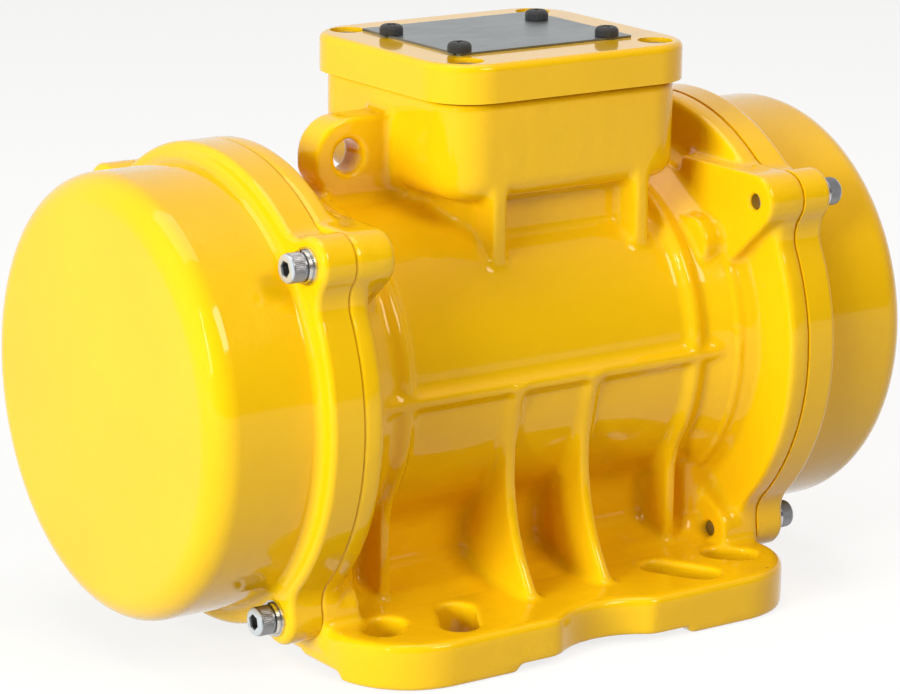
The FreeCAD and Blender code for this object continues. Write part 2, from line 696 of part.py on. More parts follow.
def copies(label, master, places):
    """A group of equal pieces; each place is (along, across, up, turn about the upright)."""
    links = []
    for number, (along, across, up, heading) in enumerate(places, start=1):
        link = doc.addObject("App::Link", f"{label}_{number}")
        link.LinkedObject = master
        set_place(link, along, across, up, heading)
        links.append(link)
    group = doc.addObject("Part::Compound", label)
    group.Label = label
    group.Links = links
    return group


def end_pair(name, master):
    """A piece of the right end, and the same piece turned round for the left end."""
    return [
        copies("left_" + name, master, [(0, 0, 0, 180)]),
        copies("right_" + name, master, [(0, 0, 0, 0)]),
    ]


# ------------------------------------------------------------------ casting
def foot_plate():
    """Plate with a relief in each long edge, four pads below and eight fanned bolt slots."""
    body = region("foot_plate")
    half_width = size.base_width / 2
    plan = sketch_on(body, "XY", base_bottom)
    corner = size.base_corner
    rectangle(plan, -base_half_length, base_half_length, -half_width, half_width, corner)
    pad(plan, size.base_thickness)
    relief = sketch_on(body, "XY", base_top)
    for side in SIDES:
        centre = half_width + size.notch_radius - size.notch_depth
        circle(relief, 0, side * centre, size.notch_radius)
    pocket(relief)
    fillet(
        body,
        size.notch_depth,
        lambda edge: edge.BoundBox.ZLength > size.base_thickness.value / 2
        and abs(edge.BoundBox.Center.x) < size.notch_radius.value
        and abs(edge.BoundBox.Center.y) > half_width.value - 0.1,
    )
    fillet(body, size.base_edge_round, lambda edge: in_plane(edge, 2, base_top.value))
    slots = sketch_on(body, "XY", base_top)
    for end, side in ((end, side) for end, _ in ENDS for side in SIDES):
        slot(
            slots, size.inner_slot_place, half_width - size.inner_slot_inset, size.inner_slot_travel,
            size.slot_width, size.inner_slot_angle, end, side,
        )
        slot(
            slots, base_half_length - size.outer_slot_end_inset,
            half_width - size.outer_slot_inset, size.outer_slot_travel,
            size.slot_width, size.outer_slot_angle, end, side,
        )
    pocket(slots)
    beyond = half_width + size.base_thickness
    across = sketch_on(body, "XY", base_bottom)
    rectangle(across, -size.pad_gap / 2, size.pad_gap / 2, -beyond, beyond)
    pocket(across, size.pad_relief, reverse=True)
    lengthwise = sketch_on(body, "XY", base_bottom)
    half_core = half_width - size.pad_width
    rectangle(lengthwise, -beyond, beyond, -half_core, half_core)
    pocket(lengthwise, size.pad_relief, reverse=True)
    middle = sketch_on(body, "XY", base_bottom)
    rectangle(middle, -beyond, beyond, -size.pedestal_width / 2, size.pedestal_width / 2)
    pocket(middle, size.core_relief, reverse=True)
    return body


def box_spots(place, side):
    """The four spots round the middle of the terminal box."""
    return [
        (size.box_offset + end * place, across * side) for end, _ in ENDS for across in SIDES
    ]


def box_rectangle(sketch, inset, corner):
    """The plan of the terminal box, made smaller by an inset."""
    half_length = size.box_length / 2 - inset
    half_width = size.box_width / 2 - inset
    left = size.box_offset - half_length
    right = size.box_offset + half_length
    rectangle(sketch, left, right, -half_width, half_width, corner)


def terminal_box():
    """Open box with a rounded underside on a narrower neck, with two gussets on each side."""
    body = region("terminal_box")
    plan = sketch_on(body, "XY", box_bottom)
    box_rectangle(plan, as_size(0), size.box_corner)
    pad(plan, size.box_height)
    fillet(body, size.box_bottom_round, lambda edge: in_plane(edge, 2, box_bottom.value))
    neck_bottom = barrel_radius / 2
    neck = sketch_on(body, "XY", neck_bottom)
    box_rectangle(neck, size.neck_inset, size.box_corner)
    pad(neck, box_bottom + size.box_floor / 2 - neck_bottom)
    half_width = size.box_width / 2
    gusset_top = box_bottom + size.box_bottom_round
    for end, _ in ENDS:
        middle = size.box_offset + end * (size.box_length / 2 - size.gusset_inset)
        gusset = sketch_on(body, "YZ", middle - size.gusset_thickness / 2)
        rectangle(gusset, -half_width, half_width, neck_bottom, gusset_top)
        pad(gusset, size.gusset_thickness)
    cavity = sketch_on(body, "XY", box_floor)
    box_rectangle(cavity, size.box_wall, size.box_corner - size.box_wall)
    pocket(cavity, box_top - box_floor, reverse=True)
    bosses = sketch_on(body, "XY", box_floor)
    for along, across in box_spots(lid_screw_place, lid_screw_side):
        circle(bosses, along, across, size.lid_boss_radius)
    pad(bosses, box_top - box_floor)
    holes = sketch_on(body, "XY", box_top)
    for along, across in box_spots(lid_screw_place, lid_screw_side):
        circle(holes, along, across, size.lid_screw_radius)
    screw_reach = lid_top - size.lid_sink_depth - size.lid_screw_length
    pocket(holes, box_top - screw_reach + size.thread_margin)
    return body


def lifting_lug():
    """Flat lug with a round eye, standing on the barrel against the end of the terminal box."""
    body = region("lifting_lug")
    rim = size.lug_hole_radius + size.lug_rim
    left = -(size.lug_place + rim)
    top = size.lug_height + rim
    low = barrel_radius - size.body_wall / 2
    wall = size.box_offset - size.box_length / 2 + size.box_wall / 2
    side = sketch_on(body, "XZ")
    outline(
        side,
        [
            (left, top, rim),
            (left, size.lug_height - rim / 2, size.lug_shoulder_round),
            (left + rim, low),
            (wall, low),
            (wall, top),
        ],
    )
    pad(side, size.lug_thickness, both_ways=True)
    return body


def web_corners(side):
    """Outline of the web between an upper lobe and the neck."""
    radius = size.lobe_radius
    outer = upper_screw[0] + radius / tangent(size.web_angle / 2)
    top = upper_screw[1] + radius
    inner = size.stator_radius / 2
    low = top - (outer - inner) * tangent(size.web_angle)
    return [(side * outer, top, radius), (side * inner, top), (side * inner, low)]


def lower_web_corners(side):
    """Outline of the web between a lower lobe, the neck and the foot plate."""
    radius = size.lobe_radius
    outer = lower_screw[0] + radius
    shoulder = lower_screw[1] + radius * tangent((90 - size.lower_web_angle) / 2)
    inner = size.stator_radius / 2
    top = shoulder + (outer - inner) * tangent(size.lower_web_angle)
    foot = base_top - size.base_thickness / 2
    return [
        (side * outer, shoulder, radius),
        (side * outer, foot),
        (side * inner, foot),
        (side * inner, top),
    ]


def pedestal_corners():
    """Section of the pedestal, with hollow corners where it meets the foot plate."""
    foot = base_top - size.base_thickness / 4
    side = size.pedestal_width / 2
    toe = side + size.pedestal_fillet + size.rim_round
    right = [
        (side, -(size.stator_radius / 2)),
        (side, base_top, size.pedestal_fillet),
        (toe, base_top),
        (toe, foot),
    ]
    return right + [(-corner[0], *corner[1:]) for corner in reversed(right)]


def middle_rib_corners():
    """Section of the barrel at a middle rib: hollow edges that flare towards the foot plate."""
    foot = base_top - size.base_thickness / 4
    right = [
        (size.fin_reach + size.rim_round / 2, as_size(0)),
        (size.middle_rib_waist, -size.middle_rib_knee, size.middle_rib_hollow),
        (size.middle_rib_foot, base_top),
        (size.middle_rib_foot, foot),
    ]
    left = [(-corner[0], *corner[1:]) for corner in reversed(right)]
    return right + left


def motor_housing():
    """The cast body of the motor in one piece: ribbed barrel, end flanges, feet, box and lug."""
    body = new_body("motor_housing")
    rib_in = size.end_rib_place - size.rib_thickness / 2
    rib_out = size.end_rib_place + size.rib_thickness / 2
    rib_radius = barrel_radius + size.rib_height
    right = [
        (rib_in, barrel_radius, size.rib_root_round),
        (rib_in, rib_radius, size.rib_round),
        (rib_out, rib_radius, size.rib_round),
        (rib_out, barrel_radius, size.rib_root_round),
        (size.body_half_length, neck_radius + size.rim_round),
        (size.body_half_length, as_size(0)),
    ]
    left = [(-corner[0], *corner[1:]) for corner in reversed(right)]
    section = sketch_on(body, "XZ")
    outline(section, right + left)
    revolve(section)
    for end, _ in ENDS:
        face = sketch_on(body, "YZ", end * flange_inner_face)
        lobed_outline(face, size.flange_radius, screw_spots(), size.lobe_radius, size.lobe_blend)
        pad(face, size.flange_thickness, reverse=end == LEFT)
    fillet(
        body,
        size.rim_round,
        lambda edge: any(in_plane(edge, 0, end * flange_inner_face.value) for end, _ in ENDS)
        and axis_distance(edge) > neck_radius.value + 1,
    )
    pedestal = sketch_on(body, "YZ", -flange_inner_face)
    outline(pedestal, pedestal_corners())
    pad(pedestal, flange_inner_face * 2)
    fuse_in(body, foot_plate())
    fin = sketch_on(body, "YZ", -flange_inner_face)
    half_fin = size.fin_thickness / 2
    rectangle(fin, -size.fin_reach, size.fin_reach, -half_fin, half_fin, size.fin_round)
    pad(fin, flange_inner_face * 2)
    for end, _ in ENDS:
        rib = sketch_on(body, "YZ", end * size.middle_rib_place - size.rib_thickness / 2)
        outline(rib, middle_rib_corners())
        pad(rib, size.rib_thickness)
        foot = sketch_on(body, "YZ", end * size.end_rib_place - size.rib_thickness / 2)
        rectangle(
            foot, -size.end_rib_foot, size.end_rib_foot,
            base_top - size.base_thickness / 4, -(barrel_radius / 2),
        )
        pad(foot, size.rib_thickness)
        webs = sketch_on(body, "YZ", end * lobe_inner_face)
        for side in SIDES:
            outline(webs, web_corners(side))
            outline(webs, lower_web_corners(side))
        pad(webs, size.lobe_depth, reverse=end == LEFT)
        bosses = sketch_on(body, "YZ", end * (seat_face - size.boss_length))
        for side in SIDES:
            across = flange_screw_circle * cosine(size.flange_screw_angle)
            up = flange_screw_circle * sine(size.flange_screw_angle)
            circle(bosses, side * across, up, size.boss_radius)
        pad(bosses, size.boss_length + size.flange_thickness / 2, reverse=end == LEFT)
    fuse_in(body, terminal_box())
    fuse_in(body, lifting_lug())
    cut_housing(body)
    return body


def cut_housing(body):
    """Bores, seats and threads, machined after casting."""
    bore = sketch_on(body, "YZ")
    circle(bore, 0, 0, size.stator_radius)
    pocket(bore, both_ways=True)
    for end, _ in ENDS:
        inwards = end == LEFT
        seat = sketch_on(body, "YZ", end * size.body_half_length)
        circle(seat, 0, 0, seat_radius)
        pocket(seat, size.seat_depth, reverse=inwards)
        ring_groove = sketch_on(body, "YZ", end * size.body_half_length)
        circle(ring_groove, 0, 0, seal_circle - size.seal_cord_radius - size.seal_squeeze)
        circle(ring_groove, 0, 0, seal_circle + size.seal_cord_radius + size.seal_squeeze)
        pocket(ring_groove, size.seal_cord_radius * 2, reverse=inwards)
        threads = sketch_on(body, "YZ", end * size.body_half_length)
        for across, up in screw_spots():
            circle(threads, across, up, size.cover_screw_radius)
        pocket(threads, size.lobe_depth, reverse=inwards)
        flange_threads = sketch_on(body, "YZ", end * seat_face)
        for across, up in flange_screw_spots():
            circle(flange_threads, across, up, size.flange_screw_radius)
        depth = size.flange_screw_length - size.flange_plate + size.thread_margin
        pocket(flange_threads, depth, reverse=inwards)
    wires = sketch_on(body, "XY", box_floor)
    circle(wires, wire_hole_place, 0, size.wire_hole_radius)
    pocket(wires, box_floor - size.stator_radius / 2)
    earth = sketch_on(body, "XY", box_floor)
    circle(earth, *earth_spot, size.lid_screw_radius)
    pocket(earth, size.earth_screw_length + size.thread_margin)
    outside = size.box_width / 2 + size.entry_boss_height
    boss = sketch_on(body, "XZ", size.box_width / 2 - size.box_wall / 2)
    circle(boss, size.entry_place, size.entry_height, size.entry_radius + size.entry_boss_rim)
    pad(boss, size.box_wall / 2 + size.entry_boss_height, reverse=True)
    entry = sketch_on(body, "XZ", outside)
    circle(entry, size.entry_place, size.entry_height, size.entry_radius)
    pocket(entry, size.box_wall + size.entry_boss_height + size.rim_round, reverse=True)
    eye = sketch_on(body, "XZ")
    circle(eye, -size.lug_place, size.lug_height, size.lug_hole_radius)
    pocket(eye, size.lug_thickness + 1, both_ways=True)


# ------------------------------------------------------------------ covers, lid and fasteners
def weight_cover():
    """Turned-looking cup with a lobed flange, modelled at the right end."""
    body = new_body("weight_cover")
    face = size.body_half_length
    cover_end = face + size.cover_reach
    inner_end = cover_end - size.cover_wall
    cup = sketch_on(body, "XZ")
    outline(
        cup,
        [
            (face, cover_bore),
            (inner_end, cover_bore, size.cover_end_round - size.cover_wall),
            (inner_end, 0),
            (cover_end, 0),
            (cover_end, size.cover_radius, size.cover_end_round),
            (face, size.cover_radius),
        ],
    )
    revolve(cup)
    ring = sketch_on(body, "YZ", face)
    lobed_outline(ring, size.flange_radius, screw_spots(), size.lobe_radius, size.lobe_blend)
    circle(ring, 0, 0, cover_bore)
    pad(ring, size.cover_flange)
    fillet(
        body,
        size.cover_rim_round,
        lambda edge: in_plane(edge, 0, cover_flange_face.value)
        and axis_distance(edge) > size.flange_radius.value - 1,
    )
    fillet(
        body,
        size.cover_root_round,
        lambda edge: in_plane(edge, 0, cover_flange_face.value)
        and abs(axis_distance(edge) - size.cover_radius.value) < 0.1,
    )
    holes = sketch_on(body, "YZ", cover_flange_face)
    for across, up in screw_spots():
        circle(holes, across, up, size.cover_screw_radius + size.screw_play)
    pocket(holes, size.cover_flange)
    return body


def cover_seal():
    """O-ring in the groove of the housing face."""
    body = new_body("cover_seal")
    section = sketch_on(body, "XZ")
    circle(section, size.body_half_length - size.seal_cord_radius, seal_circle, size.seal_cord_radius)
    revolve(section)
    return body


def socket_screw(label, shank, head, head_height, length, flats):
    """Socket head screw along X; its head stands on the origin and faces right."""
    body = new_body(label)
    section = sketch_on(body, "XZ")
    tip = size.screw_chamfer
    outline(
        section,
        [
            (-length, 0),
            (-length, shank - tip),
            (tip - length, shank),
            (0, shank),
            (0, head),
            (head_height, head, size.head_round),
            (head_height, 0),
        ],
    )
    revolve(section)
    key = sketch_on(body, "YZ", head_height)
    hexagon(key, flats)
    pocket(key, head_height / 2)
    return body


def hexagon(sketch, flats):
    """Hexagon about the origin, two of its flats upright."""
    reach = flats / 2 / cosine(as_size(30))
    corners = [as_size(30 + 60 * step) for step in range(6)]
    outline(sketch, [(reach * cosine(angle), reach * sine(angle)) for angle in corners])


def upright_screw(label, shank, head, head_height, length, crown):
    """Screw that points down; its head stands on the origin and has a crossed recess."""
    body = new_body(label)
    section = sketch_on(body, "XZ")
    outline(
        section,
        [
            (0, -length),
            (shank, -length),
            (shank, 0),
            (head, 0),
            (head, head_height, crown),
            (0, head_height),
        ],
    )
    revolve(section, "V_Axis")
    recess = sketch_on(body, "XY", head_height)
    arm, width = size.recess_reach, size.recess_width / 2
    outline(
        recess,
        [
            (arm, -width), (arm, width), (width, width), (width, arm),
            (-width, arm), (-width, width), (-arm, width), (-arm, -width),
            (-width, -width), (-width, -arm), (width, -arm), (width, -width),
        ],
    )
    pocket(recess, head_height / 2)
    return body


def ring_part(label, inner, outer, thickness, split=False):
    """Flat ring along X from the origin to the right, split at the top where it springs."""
    body = new_body(label)
    section = sketch_on(body, "XZ")
    rectangle(section, 0, thickness, inner, outer)
    revolve(section)
    if split:
        gap = sketch_on(body, "XY")
        rectangle(gap, -thickness, thickness * 2, -(size.split_width / 2), size.split_width / 2)
        pocket(gap, outer * 2, reverse=True)
    return body


def at_screws(place):
    """The eight cover screw places at a distance from the middle, turned outwards."""
    return [
        (end * place, across, up, 0 if end == RIGHT else 180)
        for end, _ in ENDS
        for across, up in screw_spots()
    ]


def cover_fasteners():
    play = size.fit_clearance
    flat = ring_part(
        "flat_washer", size.cover_screw_radius + size.screw_play, size.flat_washer_radius,
        size.flat_washer_thickness,
    )
    spring = ring_part(
        "spring_washer", size.cover_screw_radius + play * 2, size.spring_washer_radius,
        size.spring_washer_thickness, split=True,
    )
    screw = socket_screw(
        "cover_screw", size.cover_screw_radius - play, size.screw_head_radius,
        size.screw_head_height, size.cover_screw_length, size.hex_flats,
    )
    spring_face = cover_flange_face + size.flat_washer_thickness
    head_face = spring_face + size.spring_washer_thickness
    return [
        copies("cover_flat_washers", flat, at_screws(cover_flange_face)),
        copies("cover_spring_washers", spring, at_screws(spring_face)),
        copies("cover_screws", screw, at_screws(head_face)),
    ]


def terminal_box_lid():
    """Cast lid with a hollow underside, four sunk screws and a flat top for the plate."""
    body = new_body("terminal_box_lid")
    plan = sketch_on(body, "XY", lid_bottom)
    box_rectangle(plan, -size.lid_overhang, size.box_corner + size.lid_overhang)
    pad(plan, size.lid_thickness)
    fillet(body, size.lid_edge_round, lambda edge: in_plane(edge, 2, lid_top.value))
    hollow = sketch_on(body, "XY", lid_bottom)
    half_length = lid_screw_place - size.lid_boss_radius - size.lid_recess_wall
    half_width = size.box_width / 2 - size.box_wall - size.lid_recess_lip
    rectangle(
        hollow, size.box_offset - half_length, size.box_offset + half_length,
        -half_width, half_width, size.box_wall,
    )
    pocket(hollow, size.lid_recess_depth, reverse=True)
    sinks = sketch_on(body, "XY", lid_top)
    holes = sketch_on(body, "XY", lid_top)
    for along, across in box_spots(lid_screw_place, lid_screw_side):
        circle(sinks, along, across, size.lid_sink_radius)
        circle(holes, along, across, size.lid_screw_radius + size.screw_play)
    pocket(sinks, size.lid_sink_depth)
    pocket(holes)
    pilot = sketch_on(body, "XY", lid_top)
    for along, across in plate_screw_spots():
        circle(pilot, along, across, size.plate_screw_radius)
    pocket(pilot, size.plate_screw_length - size.plate_thickness + size.thread_margin)
    return body


def lid_gasket():
    """Flat gasket between the box and the lid."""
    body = new_body("lid_gasket")
    plan = sketch_on(body, "XY", box_top)
    box_rectangle(plan, size.gasket_thickness, size.box_corner - size.gasket_thickness)
    box_rectangle(plan, size.box_wall, size.gasket_corner)
    pad(plan, size.gasket_thickness)
    holes = sketch_on(body, "XY", lid_bottom)
    for along, across in box_spots(lid_screw_place, lid_screw_side):
        circle(holes, along, across, size.lid_screw_radius + size.screw_play)
    pocket(holes, size.gasket_thickness)
    return body


def plate_screw_spots():
    """Centres of the plate screws, (along, across)."""
    columns = (size.box_offset - size.plate_screw_left, size.box_offset + size.plate_screw_right)
    rows = (-size.plate_screw_front, size.plate_screw_back)
    return [(along, across) for along in columns for across in rows]


def data_plate():
    """Blank plate of sheet metal."""
    body = new_body("data_plate")
    plan = sketch_on(body, "XY", lid_top)
    half_length = size.plate_length / 2
    half_width = size.plate_width / 2
    rectangle(
        plan, size.box_offset - half_length, size.box_offset + half_length,
        size.plate_shift - half_width, size.plate_shift + half_width, size.plate_thickness,
    )
    pad(plan, size.plate_thickness)
    holes = sketch_on(body, "XY", lid_top + size.plate_thickness)
    for along, across in plate_screw_spots():
        circle(holes, along, across, size.plate_screw_radius + size.screw_play)
    pocket(holes, size.plate_thickness)
    return body


def lid_parts():
    play = size.fit_clearance
    lid_screw = upright_screw(
        "lid_screw", size.lid_screw_radius - play, size.lid_head_radius,
        size.lid_head_height, size.lid_screw_length, size.lid_head_round,
    )
    plate_screw = upright_screw(
        "plate_screw", size.plate_screw_radius - play, size.plate_head_radius,
        size.plate_head_height, size.plate_screw_length, size.plate_head_round,
    )
    sink_floor = lid_top - size.lid_sink_depth
    lid_spots = box_spots(lid_screw_place, lid_screw_side)
    plate_top = lid_top + size.plate_thickness
    return [
        terminal_box_lid(),
        lid_gasket(),
        data_plate(),
        copies("lid_screws", lid_screw, [(*spot, sink_floor, 0) for spot in lid_spots]),
        copies("plate_screws", plate_screw, [(*spot, plate_top, 0) for spot in plate_screw_spots()]),
    ]


# ------------------------------------------------------------------ inside the terminal box
def terminal_parts():
    """Moulded block with six studs in three columns, their nuts, and the earth screw."""
    middle = size.box_offset - size.block_shift
    half_length = size.block_length / 2
    half_width = size.block_width / 2
    block = new_body("terminal_block")
    plan = sketch_on(block, "XY", box_floor)
    rectangle(plan, middle - half_length, middle + half_length, -half_width, half_width)
    block_top = box_floor + size.block_height
    pad(plan, size.block_height)
    pitch = (size.block_length - size.barrier_thickness) / STUD_COLUMNS
    for step in range(STUD_COLUMNS + 1):
        barrier = sketch_on(block, "YZ", middle - half_length + pitch * step)
        rectangle(barrier, -half_width, half_width, box_floor, block_top + size.barrier_height)
        pad(barrier, size.barrier_thickness)
    first = middle - half_length + (pitch + size.barrier_thickness) / 2
    spots = [
        (first + pitch * step, side * (half_width / 2))
        for step in range(STUD_COLUMNS) for side in SIDES
    ]
    sockets = sketch_on(block, "XY", block_top)
    for along, across in spots:
        circle(sockets, along, across, size.stud_radius)
    pocket(sockets, size.block_height / 2)
    stud = new_body("stud")
    section = sketch_on(stud, "XZ")
    rectangle(section, 0, size.stud_radius - size.fit_clearance, -(size.block_height / 2), size.stud_height)
    revolve(section, "V_Axis")
    nut = new_body("nut")
    nut_plan = sketch_on(nut, "XY")
    hexagon(nut_plan, size.nut_flats)
    circle(nut_plan, 0, 0, size.stud_radius)
    pad(nut_plan, size.nut_height)
    earth = upright_screw(
        "earth", size.lid_screw_radius - size.fit_clearance, size.lid_head_radius,
        size.lid_head_height, size.earth_screw_length, size.lid_head_round,
    )
    return [
        block,
        copies("terminal_studs", stud, [(*spot, block_top, 0) for spot in spots]),
        copies("terminal_nuts", nut, [(*spot, block_top, 0) for spot in spots]),
        copies("earth_screw", earth, [(*earth_spot, box_floor, 0)]),
    ]


def cable_gland():
    """Gland body, cap nut and seal; their own Y axis runs out of the terminal box."""
    at_wall = (size.entry_place, size.box_width / 2, size.entry_height)
    bore = size.cable_radius + size.gland_seal_wall
    stub = bore + size.gland_stub_wall
    nut_start = size.entry_boss_height + size.gland_hex_length
    nut_end = nut_start + size.gland_nut_length
    seal_start = nut_start + size.gland_seal_start
    seal_end = seal_start + size.gland_seal_length
    thread = size.entry_radius - size.fit_clearance
    gland = new_body("cable_gland_body", *at_wall)
    section = sketch_on(gland, "YZ")
    outline(
        section,
        [
            (-(size.box_wall + size.rim_round), bore),
            (-(size.box_wall + size.rim_round), thread),
            (size.entry_boss_height, thread),
            (size.entry_boss_height, size.gland_nut_radius),
            (nut_start, size.gland_nut_radius),
            (nut_start, stub),
            (seal_start, stub),
            (seal_start, bore),
        ],
    )
    revolve(section)
    nut = new_body("cable_gland_nut", *at_wall)
    shell = sketch_on(nut, "YZ")
    inner = stub + size.fit_clearance * 2
    outline(
        shell,
        [
            (nut_start, inner),
            (nut_start, size.gland_nut_radius),
            (nut_end, size.gland_nut_radius, size.gland_nut_round),
            (nut_end, bore),
            (seal_end, bore),
            (seal_end, inner),
        ],
    )
    revolve(shell)
    seal = new_body("cable_gland_seal", *at_wall)
    bush = sketch_on(seal, "YZ")
    rectangle(bush, seal_start, seal_end, size.cable_radius, stub)
    revolve(bush)
    return [gland, nut, seal]


# ------------------------------------------------------------------ stator, rotor and bearings
def stator_parts():
    """Stator pack pressed into the barrel, and its end turns."""
    core = turned_part(
        "stator_core",
        [
            (-size.core_half_length, size.stator_bore),
            (size.core_half_length, size.stator_bore),
            (size.core_half_length, size.stator_radius),
            (-size.core_half_length, size.stator_radius),
        ],
    )
    end_turns = new_body("end_turns")
    section = sketch_on(end_turns, "XZ")
    wide = size.core_half_length + size.winding_overhang
    soft = size.winding_round
    outline(
        section,
        [
            (size.core_half_length, size.winding_inner),
            (wide, size.winding_inner, soft),
            (wide, size.winding_outer, soft),
            (size.core_half_length, size.winding_outer),
        ],
    )
    revolve(section)
    winding = copies("stator_winding", end_turns, [(0, 0, 0, 0), (0, 0, 0, 180)])
    return [core, winding]


def shaft():
    """One-piece shaft: rotor seat, bearing seats and weight seats with ring grooves."""
    bearing_seat = size.bearing_bore
    seat = size.weight_seat_radius
    groove_floor = seat - size.ring_groove_depth
    right = [
        (bearing_inner_face, size.shaft_radius),
        (bearing_inner_face, bearing_seat),
        (fixed_weight_face, bearing_seat),
        (fixed_weight_face, seat),
        (ring_face, seat),
        (ring_face, groove_floor),
        (ring_face + size.ring_thickness, groove_floor),
        (ring_face + size.ring_thickness, seat),
        (shaft_end, seat),
        (shaft_end, as_size(0)),
    ]
    left = [(-corner[0], *corner[1:]) for corner in reversed(right)]
    body = turned_part("shaft", right + left)
    for end, _ in ENDS:
        middle = end * (fixed_weight_face + size.weight_thickness / 2)
        half = size.weight_thickness / 2
        keyway = sketch_on(body, "XY", seat - size.key_height / 2)
        rectangle(keyway, middle - half, middle + half, -(size.key_width / 2), size.key_width / 2)
        pocket(keyway, size.key_height, reverse=True)
    return body


def rotor_parts():
    """Rotor pack on the shaft and the short-circuit rings of its cage."""
    rotor_radius = size.stator_bore - size.air_gap
    pack = turned_part(
        "rotor_core",
        [
            (-size.core_half_length, size.shaft_radius),
            (size.core_half_length, size.shaft_radius),
            (size.core_half_length, rotor_radius),
            (-size.core_half_length, rotor_radius),
        ],
    )
    ring = new_body("cage_ring")
    section = sketch_on(ring, "XZ")
    outer = rotor_radius - size.cage_ring_inset
    far = size.core_half_length + size.cage_ring_length
    rectangle(section, size.core_half_length, far, outer - size.cage_ring_wall, outer)
    revolve(section)
    key = new_body("key")
    key_plan = sketch_on(key, "XY", size.weight_seat_radius - size.key_height / 2)
    near = fixed_weight_face
    half_width = size.key_width / 2
    rectangle(key_plan, near, near + size.weight_thickness, -half_width, half_width)
    pad(key_plan, size.key_height)
    snap = ring_part(
        "snap_ring", size.weight_seat_radius - size.ring_groove_depth,
        size.weight_seat_radius + size.ring_height, size.ring_thickness, split=True,
    )
    return [
        shaft(),
        pack,
        copies("rotor_cage", ring, [(0, 0, 0, 0), (0, 0, 0, 180)]),
        copies("weight_keys", key, [(0, 0, 0, 0), (0, 0, 0, 180)]),
        copies("retaining_rings", snap, [(end * ring_face, 0, 0, 90 - 90 * end) for end, _ in ENDS]),
    ]


def bearing_flange():
    """Plate that carries the bearing, seated and screwed in the end of the barrel."""
    hub = size.bearing_radius + size.hub_wall
    lip_face = bearing_inner_face - size.lip_length
    lip_bore = size.bearing_radius - size.lip_height
    plate_face = seat_face + size.flange_plate
    body = turned_part(
        "bearing_flange",
        [
            (lip_face, lip_bore),
            (lip_face, hub, size.rim_round),
            (seat_face, hub, size.rim_round),
            (seat_face, seat_radius),
            (plate_face, seat_radius),
            (plate_face, hub),
            (bearing_outer_face, hub),
            (bearing_outer_face, size.bearing_radius),
            (bearing_inner_face, size.bearing_radius),
            (bearing_inner_face, lip_bore),
        ],
    )
    holes = sketch_on(body, "YZ", plate_face)
    for across, up in flange_screw_spots():
        circle(holes, across, up, size.flange_screw_radius + size.screw_play)
    pocket(holes, size.flange_plate)
    threads = sketch_on(body, "YZ", bearing_outer_face)
    for across, up in cap_screw_spots():
        circle(threads, across, up, size.cap_screw_radius)
    pocket(threads, size.cap_screw_length - size.grease_cap_thickness + size.thread_margin)
    return body


def cap_screw_spots():
    """Centres of the three grease cap screws, (across, up) from the shaft axis."""
    reach = size.bearing_radius + size.hub_wall / 2
    angles = [as_size(90 + 120 * step) for step in range(3)]
    return [(reach * cosine(angle), reach * sine(angle)) for angle in angles]


def grease_cap():
    """Ring that holds the bearing and its grease, with a running gap round the spacer."""
    far = bearing_outer_face + size.grease_cap_thickness
    body = turned_part(
        "grease_cap",
        [
            (bearing_outer_face, spacer_radius + size.running_clearance),
            (bearing_outer_face, size.bearing_radius + size.hub_wall),
            (far, size.bearing_radius + size.hub_wall),
            (far, spacer_radius + size.running_clearance),
        ],
    )
    holes = sketch_on(body, "YZ", far)
    for across, up in cap_screw_spots():
        circle(holes, across, up, size.cap_screw_radius + size.screw_play)
    pocket(holes, size.grease_cap_thickness)
    return body


def raced_ring(label, inner, outer):
    """Bearing ring with a ball groove."""
    body = turned_part(
        label,
        [
            (bearing_inner_face, inner),
            (bearing_outer_face, inner),
            (bearing_outer_face, outer),
            (bearing_inner_face, outer),
        ],
    )
    race = sketch_on(body, "XZ")
    circle(race, bearing_middle, ball_circle, size.ball_radius + size.race_clearance)
    groove(race)
    return body


def ball_cage():
    """Thin band with a pocket for each ball."""
    half_width = size.cage_length / 2
    half_wall = size.cage_thickness / 2
    body = turned_part(
        "ball_cage",
        [
            (bearing_middle - half_width, ball_circle - half_wall),
            (bearing_middle + half_width, ball_circle - half_wall),
            (bearing_middle + half_width, ball_circle + half_wall),
            (bearing_middle - half_width, ball_circle + half_wall),
        ],
    )
    opening = sketch_on(body, "XY")
    circle(opening, bearing_middle, 0, size.ball_radius + size.race_clearance)
    first = pocket(opening, size.bearing_radius, reverse=True)
    axis = sketch_on(body, "XZ")
    polar_pattern(body, first, axis, size.ball_count)
    return body


def bearing_parts():
    outer_ring = raced_ring("outer_ring", size.bearing_radius - size.race_wall, size.bearing_radius)
    inner_ring = raced_ring("inner_ring", size.bearing_bore, size.bearing_bore + size.race_wall)
    spacer = turned_part(
        "shaft_spacer",
        [
            (bearing_outer_face, size.bearing_bore),
            (fixed_weight_face, size.bearing_bore),
            (fixed_weight_face, spacer_radius),
            (bearing_outer_face, spacer_radius),
        ],
    )
    ball = doc.addObject("Part::Sphere", "ball")
    ball.setExpression("Radius", size.ball_radius.formula)
    count = round(size.ball_count.value)
    angles = [as_size(360 / count * step) for step in range(count)]
    balls = [
        copies(
            f"{name}_bearing_balls", ball,
            [(end * bearing_middle, ball_circle * sine(a), ball_circle * cosine(a), 0) for a in angles],
        )
        for end, name in ENDS
    ]
    return (
        end_pair("bearing_outer_ring", outer_ring)
        + end_pair("bearing_inner_ring", inner_ring)
        + end_pair("ball_cage", ball_cage())
        + end_pair("spacer", spacer)
        + balls
    )


